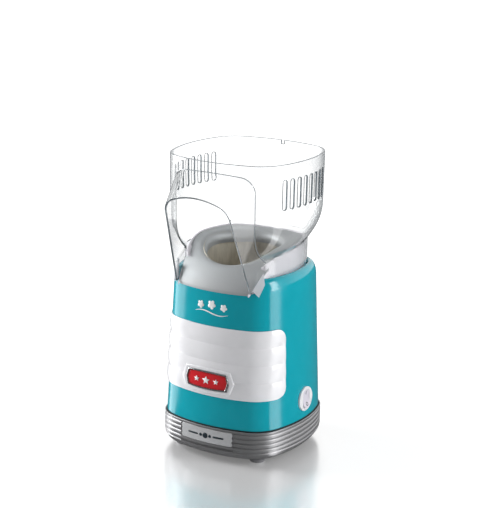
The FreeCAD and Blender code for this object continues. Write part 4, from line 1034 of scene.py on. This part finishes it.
def make_hood(settings):
    """Clear hood: a flat pattern is cut with its slots, notch and chute opening, wrapped, and given its wall.

    The chute visor runs in straight lines from the arch where it leaves the hood to the arch of its mouth.
    """
    sizes = settings.hood_sizes
    scale = GIRTH * sizes.waist_half
    seat, rim, spacing = 180.5 * MM, HOOD_HIGH.z, 3.0 * MM
    root_x, root_z = arch(ROOT_FOOT_HALF, ROOT_HALF, ROOT_HALF, seat, ROOT_TOP_Z, 15 * MM, 1.5 * MM)
    probe = on_hood(sizes, np.zeros(len(root_z)), root_z)
    half_there = -probe[:, 1]
    root_turn = front_turn(root_x, half_there)
    left, right = (SEAM_TURN - 1) * scale, SEAM_TURN * scale
    notch, notch_half, notch_depth = -0.5 * scale, 1.5 * MM, 4 * MM
    boundary = np.concatenate([
        line((left, seat), (root_turn[0] * scale, seat), spacing),
        np.stack([root_turn * scale, root_z], -1)[:-1],
        line((root_turn[-1] * scale, seat), (right, seat), spacing),
        line((right, seat), (right, rim), spacing),
        line((right, rim), (notch + notch_half, rim), spacing),
        line((notch + notch_half, rim), (notch + notch_half, rim - notch_depth), MM),
        line((notch + notch_half, rim - notch_depth), (notch - notch_half, rim - notch_depth), MM),
        line((notch - notch_half, rim - notch_depth), (notch - notch_half, rim), MM),
        line((notch - notch_half, rim), (left, rim), spacing),
        line((left, rim), (left, seat), spacing)])
    pitch, slot_half = 10.4 * MM, 2.5 * MM
    slots = []
    for side in (0.25, -0.25):
        for k in range(sizes.slots):
            centre = side * scale + (k - (sizes.slots - 1) / 2) * pitch
            slots.append(slot_loop(centre, slot_half, 253 * MM, 282 * MM))
    flat, faces = cut_sheet([boundary] + slots, spacing)
    form = Form()
    form.add(on_hood(sizes, flat[:, 0] / scale, flat[:, 1]), faces)
    root = on_hood(sizes, root_turn, root_z)
    mouth_x, mouth_z = arch(sizes.mouth_foot_half, sizes.mouth_foot_half, sizes.mouth_head_half, MOUTH_FOOT_Z,
                            sizes.mouth_top, 17 * MM, 5 * MM)
    mouth = np.stack([mouth_x, MOUTH_FOOT_Y - MOUTH_LEAN * (mouth_z - MOUTH_FOOT_Z), mouth_z], -1)
    share = np.linspace(0, 1, 13)[:, None, None]
    form.grid(root + (mouth - root) * share)
    hood = form.finish("hood_shell", FINISHES["clear"], "hood_body", ["hood"], "clear", sharp=30.0)
    hood.data.materials.append(FINISHES["clear_edge"])
    thicken(hood, sizes.wall)
    hood.modifiers["thickness"].material_offset_rim = 1
    round_edges(hood, 0.45 * MM, 2).material = 1
    make_ears(settings)


def make_ears(settings):
    """Two flat kites that hang from the visor's wall outside the housing's shoulder."""
    sizes = settings.housing_sizes
    form = Form()
    corner = CORNER_CENTRE * math.sqrt(2) + CORNER_RADIUS
    shoulder_z, inset = BODY_HIGH.z - sizes.shoulder, 7.8 * MM
    for side in (-1, 1):
        turn = math.radians(42.0)
        outward = np.array([side * math.sin(turn), -math.cos(turn), 0])
        across = np.array([side * math.cos(turn), math.sin(turn), 0])

        def at(along, height):
            share = min(max((height - shoulder_z) / sizes.shoulder, 0), 1)
            half = sizes.head_half - inset * (1 - math.sqrt(1 - share ** 2))
            return outward * (half * corner + 0.6 * MM) + across * along + np.array([0, 0, height])

        foot, tip, back = at(-7.3 * MM, 176.5 * MM), at(-0.9 * MM, 170.3 * MM), at(5.0 * MM, 181.6 * MM)
        apex = tip + (back - tip) * 1.58 + (foot - tip) * 0.7
        corners = np.array([foot, tip, back, apex])
        share = np.linspace(0, 1, 8)[:, None]
        near = corners[0] + (corners[3] - corners[0]) * share
        far = corners[1] + (corners[2] - corners[1]) * share
        face = near[:, None] + (far - near)[:, None] * np.linspace(0, 1, 6)[None, :, None]
        form.grid(face + outward * 1.8 * MM)
    ears = form.finish("hood_ears", FINISHES["frosted"], "hood_body", slot="clear")
    thicken(ears, 1.5 * MM, 0.3 * MM, 2)


# --- switch --------------------------------------------------------------------------------------
ROCKER_REST_DEG = -8.0       # how far the rocker leans at rest


def rocker_reach(angles, radius, half_w):
    """Outline of a round rocker with flat sides: the nearer of a circle and two lines, softly joined."""
    flat = half_w / np.maximum(np.abs(np.cos(angles)), 1e-3)
    return (radius ** -10.0 + flat ** -10.0) ** -0.1


def switch_place(spin, reach, distance):
    """Point at that distance out from the switch's face, reach away from its centre line."""
    centre = (SWITCH_LOW + SWITCH_HIGH) / 2
    reach, distance = np.broadcast_arrays(reach, distance)
    y, z = centre.y + reach * np.cos(spin), centre.z + reach * np.sin(spin)
    return np.stack([SWITCH_HIGH.x + distance, y, z], -1)


def make_switch():
    """Round bezel with a flat-sided well, and a dished rocker leaning to its off side with its two marks."""
    spin = np.arange(120) / 120 * 2 * math.pi
    well = rocker_reach(spin, 9.5 * MM, 6.3 * MM)
    rim = (SWITCH_HIGH.z - SWITCH_LOW.z) / 2
    bend = np.linspace(0, QUARTER, 6)
    rows = [(1.0, 0.0, -2.2), (1.0, 0.0, -0.9)]
    rows += [(1.0, -0.9 * (1 - math.cos(a)), -0.9 + 0.9 * math.sin(a)) for a in bend]
    rows += [(0.0, 0.5 - 0.5 * math.sin(a), 0.5 * math.cos(a) - 0.5) for a in bend]
    rows += [(0.0, 0.0, -5.0), (0.0, 0.6, -5.0)]
    share, out, along = (np.array(column)[:, None] for column in zip(*rows))
    bezel = switch_place(spin, well + (rim - well) * share + out * MM, along * MM)
    form = Form()
    form.grid(bezel, wrap_rows=True, wrap_cols=True)
    form.finish("switch_bezel", FINISHES["switch_white"], "housing", ["switch_housing"], "switch_white",
                sharp=50.0)
    pivot = np.array(ROCKER_JOINT["pos_m"])
    tilt = np.array(Matrix.Rotation(math.radians(ROCKER_REST_DEG), 3, "Y"))
    edge = rocker_reach(spin, 9.2 * MM, 6.0 * MM)

    def dish(z):
        return 2.5 * MM + 1.9 * MM * (z / (9.2 * MM)) ** 2

    def on_rocker(y, z, lift):
        y, z, lift = np.broadcast_arrays(y, z, lift)
        return pivot + np.stack([lift, y, z], -1) @ tilt.T

    inner = np.linspace(0, 1, 14)[:, None]
    reach = edge * inner * 0.93
    rows = [on_rocker(reach * np.cos(spin), reach * np.sin(spin), dish(reach * np.sin(spin)))]
    for a in bend[1:]:
        reach = edge * (0.93 + 0.07 * math.sin(a))
        top = dish(reach * np.sin(spin)) - 0.5 * MM * (1 - math.cos(a))
        rows.append(on_rocker(reach * np.cos(spin), reach * np.sin(spin), top)[None])
    rows.append(on_rocker(edge * np.cos(spin), edge * np.sin(spin), -2.0 * MM)[None])
    rows.append(on_rocker(0 * spin, 0 * spin, -2.0 * MM)[None])
    # The rocker's finish is the darker lavender-grey white of painted shade.
    form = Form()
    form.grid(np.concatenate(rows), wrap_cols=True)
    form.finish("rocker_cap", FINISHES["rocker_white"], "rocker", ["rocker_button"], "switch_white",
                sharp=50.0)
    form = Form()
    bar_half, bar_low, bar_high = 0.45 * MM, 4.0 * MM, 7.2 * MM
    corners = (-bar_half, bar_low), (bar_half, bar_low), (bar_half, bar_high), (-bar_half, bar_high)
    bar = rounded_loop(corners, 0.4 * MM, 0.5 * MM)
    circle = np.linspace(0, 2 * math.pi, 40, endpoint=False)
    rings = [np.stack([r * MM * np.cos(circle), r * MM * np.sin(circle) - 5.6 * MM], -1) for r in (2.0, 1.2)]
    for loops in ([bar], rings):
        flat, faces = cut_sheet(loops, 0.6 * MM)
        form.add(on_rocker(flat[:, 0], flat[:, 1], dish(flat[:, 1]) + 0.08 * MM), faces)
    marks = form.finish("rocker_marks", FINISHES["mark_grey"], "rocker", slot="dark_plastic")
    thicken(marks, 0.14 * MM)


# --- cord gland ----------------------------------------------------------------------------------
def make_gland():
    """Bush in the base's back wall: a rounded flange, a barrel and the bore, carried round its axis."""
    centre = (GLAND_LOW + GLAND_HIGH) / 2
    flange, bore = (GLAND_HIGH.z - GLAND_LOW.z) / 2, 3.6 * MM
    face = GLAND_HIGH.y - GLAND_LOW.y
    swing = np.linspace(0, QUARTER, 6)
    rows = [(flange - 2.1 * MM, 0), (flange - 2.1 * MM, face - 2 * MM), (flange, face - 2 * MM)]
    rows += [(flange - 1.2 * MM * (1 - math.cos(a)), face - 1.2 * MM + 1.2 * MM * math.sin(a)) for a in swing]
    rows += [(bore + 1.0 * MM * (1 - math.sin(a)), face - 1.0 * MM * (1 - math.cos(a))) for a in swing]
    rows += [(bore, 0)]
    form = Form()
    form.grid(lathe(rows, (centre.x, GLAND_LOW.y, centre.z), (0, 1, 0)), wrap_rows=True, wrap_cols=True)
    form.finish("gland_bush", FINISHES["dark_plastic"], "housing", ["cord_gland"], "dark_plastic",
                sharp=40.0)


# --- frame's own nodes ---------------------------------------------------------------------------
def finish_frame():
    """Gives each of the frame's nodes its slot's finish, and smooth shading over welded points."""
    slots = {entry["node"]: entry["material_slot"] for entry in frame["record"]["subparts"]}
    for name, node in frame["nodes"].items():
        node.data.materials.clear()
        node.data.materials.append(FINISHES[slots[name]])
        node.data.polygons.foreach_set("use_smooth", [True] * len(node.data.polygons))
        weld = node.modifiers.new("weld", "WELD")
        weld.merge_threshold = 0.002 * MM
        normals = node.modifiers.new("normals", "WEIGHTED_NORMAL")
        normals.keep_sharp = True


# --- stage ---------------------------------------------------------------------------------------
AIM = Vector((-22.3, 44.4, 179.8)) * MM    # the point that the camera looks at
FLOOR_REACH = 6.0            # from the floor's middle to each of its sides, in metres
LIGHT_AIM_Z = 0.14           # height at which the lights are aimed, in metres


def card(tree, axes, side, low, high):
    """1 on a wedge of floor beside the maker: low and high are the slopes of its edges, going outwards."""
    out = add(tree, "ShaderNodeMath", {"operation": "MULTIPLY_ADD", 1: side, 2: -45 * MM},
              {0: axes.outputs["X"]})
    along = add(tree, "ShaderNodeMath", {"operation": "ADD", 1: 45 * MM}, {0: axes.outputs["Y"]})
    slope = add(tree, "ShaderNodeMath", {"operation": "DIVIDE"}, {0: along.outputs[0], 1: out.outputs[0]})
    rising = add(tree, "ShaderNodeMapRange", {"interpolation_type": "SMOOTHSTEP", "From Min": low,
                                              "From Max": low + 0.12}, {"Value": slope.outputs[0]})
    falling = add(tree, "ShaderNodeMapRange", {"interpolation_type": "SMOOTHSTEP", "From Min": high,
                                               "From Max": high - 0.12}, {"Value": slope.outputs[0]})
    outside = add(tree, "ShaderNodeMath", {"operation": "GREATER_THAN", 1: 20 * MM}, {0: out.outputs[0]})
    both = add(tree, "ShaderNodeMath", {"operation": "MULTIPLY"},
               {0: rising.outputs[0], 1: falling.outputs[0]})
    return add(tree, "ShaderNodeMath", {"operation": "MULTIPLY"},
               {0: both.outputs[0], 1: outside.outputs[0]})


def seen_rays(tree):
    """1 for what the eye sees, straight or through clear pieces."""
    path = add(tree, "ShaderNodeLightPath")
    seen = add(tree, "ShaderNodeMath", {"operation": "MAXIMUM"},
               {0: path.outputs["Is Camera Ray"], 1: path.outputs["Is Transmission Ray"]})
    return seen.outputs[0], path.outputs["Is Glossy Ray"]


def studio_floor():
    """Glossy white studio floor.

    Near the maker the eye sees its shadow and mirror image, further out it's plain white. In the maker's own
    gloss the floor is dark, but for two bright cards that lie to its left and right.
    """
    material, tree, output, coords = new_material("studio_floor")
    _, normal = grain(tree, coords, 60 * MM, 0.01 * MM)
    axes = add(tree, "ShaderNodeSeparateXYZ", {}, {0: coords})
    lit = add(tree, "ShaderNodeBsdfPrincipled", {"Base Color": opaque(linear("#F4F4F5")), "Roughness": 0.4,
                                                 "IOR": 1.5}, {"Normal": normal})
    mirror = add(tree, "ShaderNodeBsdfAnisotropic", {"Color": (1, 1, 1, 1), "Roughness": 0.22},
                 {"Normal": normal})
    shiny = add(tree, "ShaderNodeMixShader", {0: 0.55}, {1: lit.outputs[0], 2: mirror.outputs[0]})
    glow = add(tree, "ShaderNodeEmission", {"Color": (1, 1, 1, 1), "Strength": 1.35})
    far = add(tree, "ShaderNodeVectorMath", {"operation": "LENGTH"}, {0: coords})
    near = add(tree, "ShaderNodeMapRange",
               {"interpolation_type": "SMOOTHSTEP", "From Min": 0.2, "From Max": 0.42, "To Min": 0.12,
                "To Max": 1.0}, {"Value": far.outputs["Value"]})
    floor = add(tree, "ShaderNodeMixShader", {},
                {0: near.outputs[0], 1: shiny.outputs[0], 2: glow.outputs[0]})
    left, right = card(tree, axes, -1.0, -0.65, 0.25), card(tree, axes, 1.0, -0.14, 0.6)
    cards = add(tree, "ShaderNodeMath", {"operation": "ADD"}, {0: left.outputs[0], 1: right.outputs[0]})
    shine = add(tree, "ShaderNodeMath", {"operation": "MULTIPLY_ADD", 1: 2.4, 2: 0.1}, {0: cards.outputs[0]})
    mirrored = add(tree, "ShaderNodeEmission", {"Color": (1, 1, 1, 1)}, {"Strength": shine.outputs[0]})
    seen, glossy = seen_rays(tree)
    hidden = add(tree, "ShaderNodeMixShader", {}, {0: glossy, 1: lit.outputs[0], 2: mirrored.outputs[0]})
    mixed = add(tree, "ShaderNodeMixShader", {}, {0: seen, 1: hidden.outputs[0], 2: floor.outputs[0]})
    tree.links.new(mixed.outputs[0], output.inputs[0])
    return material


def make_world():
    """Soft studio surround: white to the eye and through clear pieces, in gloss bright only behind."""
    world = bpy.data.worlds.new("studio")
    bpy.context.scene.world = world
    world.use_nodes = True
    tree = world.node_tree
    tree.nodes.clear()
    white = add(tree, "ShaderNodeBackground", {"Color": (1, 1, 1, 1), "Strength": 1.0})
    soft = add(tree, "ShaderNodeBackground", {"Color": (1, 1, 1, 1), "Strength": 0.3})
    dim = add(tree, "ShaderNodeBackground", {"Color": (1, 1, 1, 1)})
    coords = add(tree, "ShaderNodeTexCoord")
    axes = add(tree, "ShaderNodeSeparateXYZ", {}, {0: coords.outputs["Generated"]})
    behind = add(tree, "ShaderNodeMapRange",
                 {"From Min": 0.3, "From Max": 0.75, "To Min": 0.12, "To Max": 1.25},
                 {"Value": axes.outputs["Y"]})
    tree.links.new(behind.outputs["Result"], dim.inputs["Strength"])
    seen, glossy = seen_rays(tree)
    hidden = add(tree, "ShaderNodeMixShader", {}, {0: glossy, 1: soft.outputs[0], 2: dim.outputs[0]})
    mixed = add(tree, "ShaderNodeMixShader", {}, {0: seen, 1: hidden.outputs[0], 2: white.outputs[0]})
    output = add(tree, "ShaderNodeOutputWorld")
    tree.links.new(mixed.outputs[0], output.inputs[0])


def area_light(name, azimuth, elevation, distance, size, power):
    """Rectangular soft light at a place round the maker, turned towards its middle."""
    data = bpy.data.lights.new(name, "AREA")
    data.shape, data.size, data.size_y, data.energy = "RECTANGLE", size[0], size[1], power
    light = bpy.data.objects.new(name, data)
    turn, rise = math.radians(azimuth), math.radians(elevation)
    away = Vector((math.sin(turn) * math.cos(rise), -math.cos(turn) * math.cos(rise), math.sin(rise)))
    light.location = Vector((0, 0, LIGHT_AIM_Z)) + away * distance
    light.rotation_euler = away.to_track_quat("Z", "Y").to_euler()
    bpy.context.scene.collection.objects.link(light)


def make_camera(stage):
    """Camera on a circle round the point it looks at, leaned about its own line of sight."""
    azimuth, elevation = stage.azimuth, stage.elevation
    back = Vector((math.sin(azimuth) * math.cos(elevation), -math.cos(azimuth) * math.cos(elevation),
                   math.sin(elevation)))
    right = Vector((math.cos(azimuth), math.sin(azimuth), 0))
    up = back.cross(right)
    data = bpy.data.cameras.new("camera")
    data.sensor_fit, data.sensor_width, data.lens = "AUTO", 36.0, stage.lens
    data.clip_start, data.clip_end = 0.05, 20.0
    camera = bpy.data.objects.new("camera", data)
    turned = Matrix((right, up, back)).transposed() @ Matrix.Rotation(stage.roll, 3, "Z")
    camera.matrix_world = Matrix.Translation(AIM + back * stage.distance) @ turned.to_4x4()
    bpy.context.scene.collection.objects.link(camera)
    bpy.context.scene.camera = camera


def make_stage(settings):
    """Floor, surround, lights and camera."""
    stage = settings.stage_settings
    reach = FLOOR_REACH
    corners = [(-reach, -reach, 0), (reach, -reach, 0), (reach, reach, 0), (-reach, reach, 0)]
    mesh = bpy.data.meshes.new("studio_floor")
    mesh.from_pydata(corners, [], [(0, 1, 2, 3)])
    mesh.materials.append(studio_floor())
    floor = bpy.data.objects.new("studio_floor", mesh)
    bpy.context.scene.collection.objects.link(floor)
    make_world()
    area_light("left", -75, 18, 1.2, (0.5, 0.9), stage.left)
    area_light("right", 100, 18, 1.2, (0.5, 0.9), stage.right)
    make_camera(stage)
    bpy.context.scene.view_settings.view_transform = "Standard"


# --- add-on --------------------------------------------------------------------------------------
class PopcornSettings(bpy.types.PropertyGroup):
    """All settings of the popcorn maker."""
    colours: PointerProperty(type=Colours, name="Colours", description="Colours of the finishes")
    housing_sizes: PointerProperty(type=HousingSizes, name="Housing", description="Sizes of the housing")
    base_sizes: PointerProperty(type=BaseSizes, name="Base", description="Sizes of the base")
    hood_sizes: PointerProperty(type=HoodSizes, name="Hood", description="Sizes of the hood")
    stage_settings: PointerProperty(type=StageSettings, name="Stage", description="Camera and light")


class POPCORN_OT_finishes(bpy.types.Operator):
    """Makes every finish and gives the frame's nodes theirs."""
    bl_idname = "popcorn.finishes"
    bl_label = "Finishes"

    def execute(self, context):
        FINISHES.update(make_finishes(context.scene.popcorn.colours))
        finish_frame()
        return {"FINISHED"}


class POPCORN_OT_housing(bpy.types.Operator):
    """Builds the housing's shell."""
    bl_idname = "popcorn.housing"
    bl_label = "Housing"

    def execute(self, context):
        make_housing(context.scene.popcorn)
        return {"FINISHED"}


class POPCORN_OT_front_panel(bpy.types.Operator):
    """Builds the banded front panel and the badge's surround."""
    bl_idname = "popcorn.front_panel"
    bl_label = "Front panel"

    def execute(self, context):
        make_front_panel(context.scene.popcorn)
        return {"FINISHED"}


class POPCORN_OT_badge(bpy.types.Operator):
    """Builds the badge and the printed marks."""
    bl_idname = "popcorn.badge"
    bl_label = "Badge and prints"

    def execute(self, context):
        make_badge(context.scene.popcorn)
        make_print(context.scene.popcorn)
        return {"FINISHED"}


class POPCORN_OT_base(bpy.types.Operator):
    """Builds the ribbed base and its name plate."""
    bl_idname = "popcorn.base"
    bl_label = "Base"

    def execute(self, context):
        make_base(context.scene.popcorn)
        return {"FINISHED"}


class POPCORN_OT_chute_plate(bpy.types.Operator):
    """Builds the chute plate and the cheeks beside it."""
    bl_idname = "popcorn.chute_plate"
    bl_label = "Chute plate"

    def execute(self, context):
        make_chute_plate(context.scene.popcorn)
        make_cheeks(context.scene.popcorn)
        return {"FINISHED"}


class POPCORN_OT_hood(bpy.types.Operator):
    """Builds the clear hood and its ears."""
    bl_idname = "popcorn.hood"
    bl_label = "Hood"

    def execute(self, context):
        make_hood(context.scene.popcorn)
        return {"FINISHED"}


class POPCORN_OT_switch(bpy.types.Operator):
    """Builds the switch's bezel and rocker."""
    bl_idname = "popcorn.switch"
    bl_label = "Switch"

    def execute(self, context):
        make_switch()
        return {"FINISHED"}


class POPCORN_OT_gland(bpy.types.Operator):
    """Builds the cord gland's bush."""
    bl_idname = "popcorn.gland"
    bl_label = "Cord gland"

    def execute(self, context):
        make_gland()
        return {"FINISHED"}


class POPCORN_OT_stage(bpy.types.Operator):
    """Builds the floor, the lights and the camera."""
    bl_idname = "popcorn.stage"
    bl_label = "Stage"

    def execute(self, context):
        make_stage(context.scene.popcorn)
        return {"FINISHED"}


OPERATORS = (POPCORN_OT_finishes, POPCORN_OT_housing, POPCORN_OT_front_panel, POPCORN_OT_badge,
             POPCORN_OT_base, POPCORN_OT_chute_plate, POPCORN_OT_hood, POPCORN_OT_switch, POPCORN_OT_gland,
             POPCORN_OT_stage)


class POPCORN_PT_panel(bpy.types.Panel):
    """Lists the operators in the sidebar."""
    bl_label = "Popcorn maker"
    bl_idname = "POPCORN_PT_panel"
    bl_space_type = "VIEW_3D"
    bl_region_type = "UI"
    bl_category = "Popcorn"

    def draw(self, context):
        for operator in OPERATORS:
            self.layout.operator(operator.bl_idname)


CLASSES = (Colours, HousingSizes, BaseSizes, HoodSizes, StageSettings, PopcornSettings, *OPERATORS,
           POPCORN_PT_panel)


def register():
    for cls in CLASSES:
        bpy.utils.register_class(cls)
    bpy.types.Scene.popcorn = PointerProperty(type=PopcornSettings)


def unregister():
    del bpy.types.Scene.popcorn
    for cls in reversed(CLASSES):
        bpy.utils.unregister_class(cls)


def main():
    register()
    for operator in OPERATORS:
        group, name = operator.bl_idname.split(".")
        getattr(getattr(bpy.ops, group), name)()


if __name__ == "__main__":
    main()
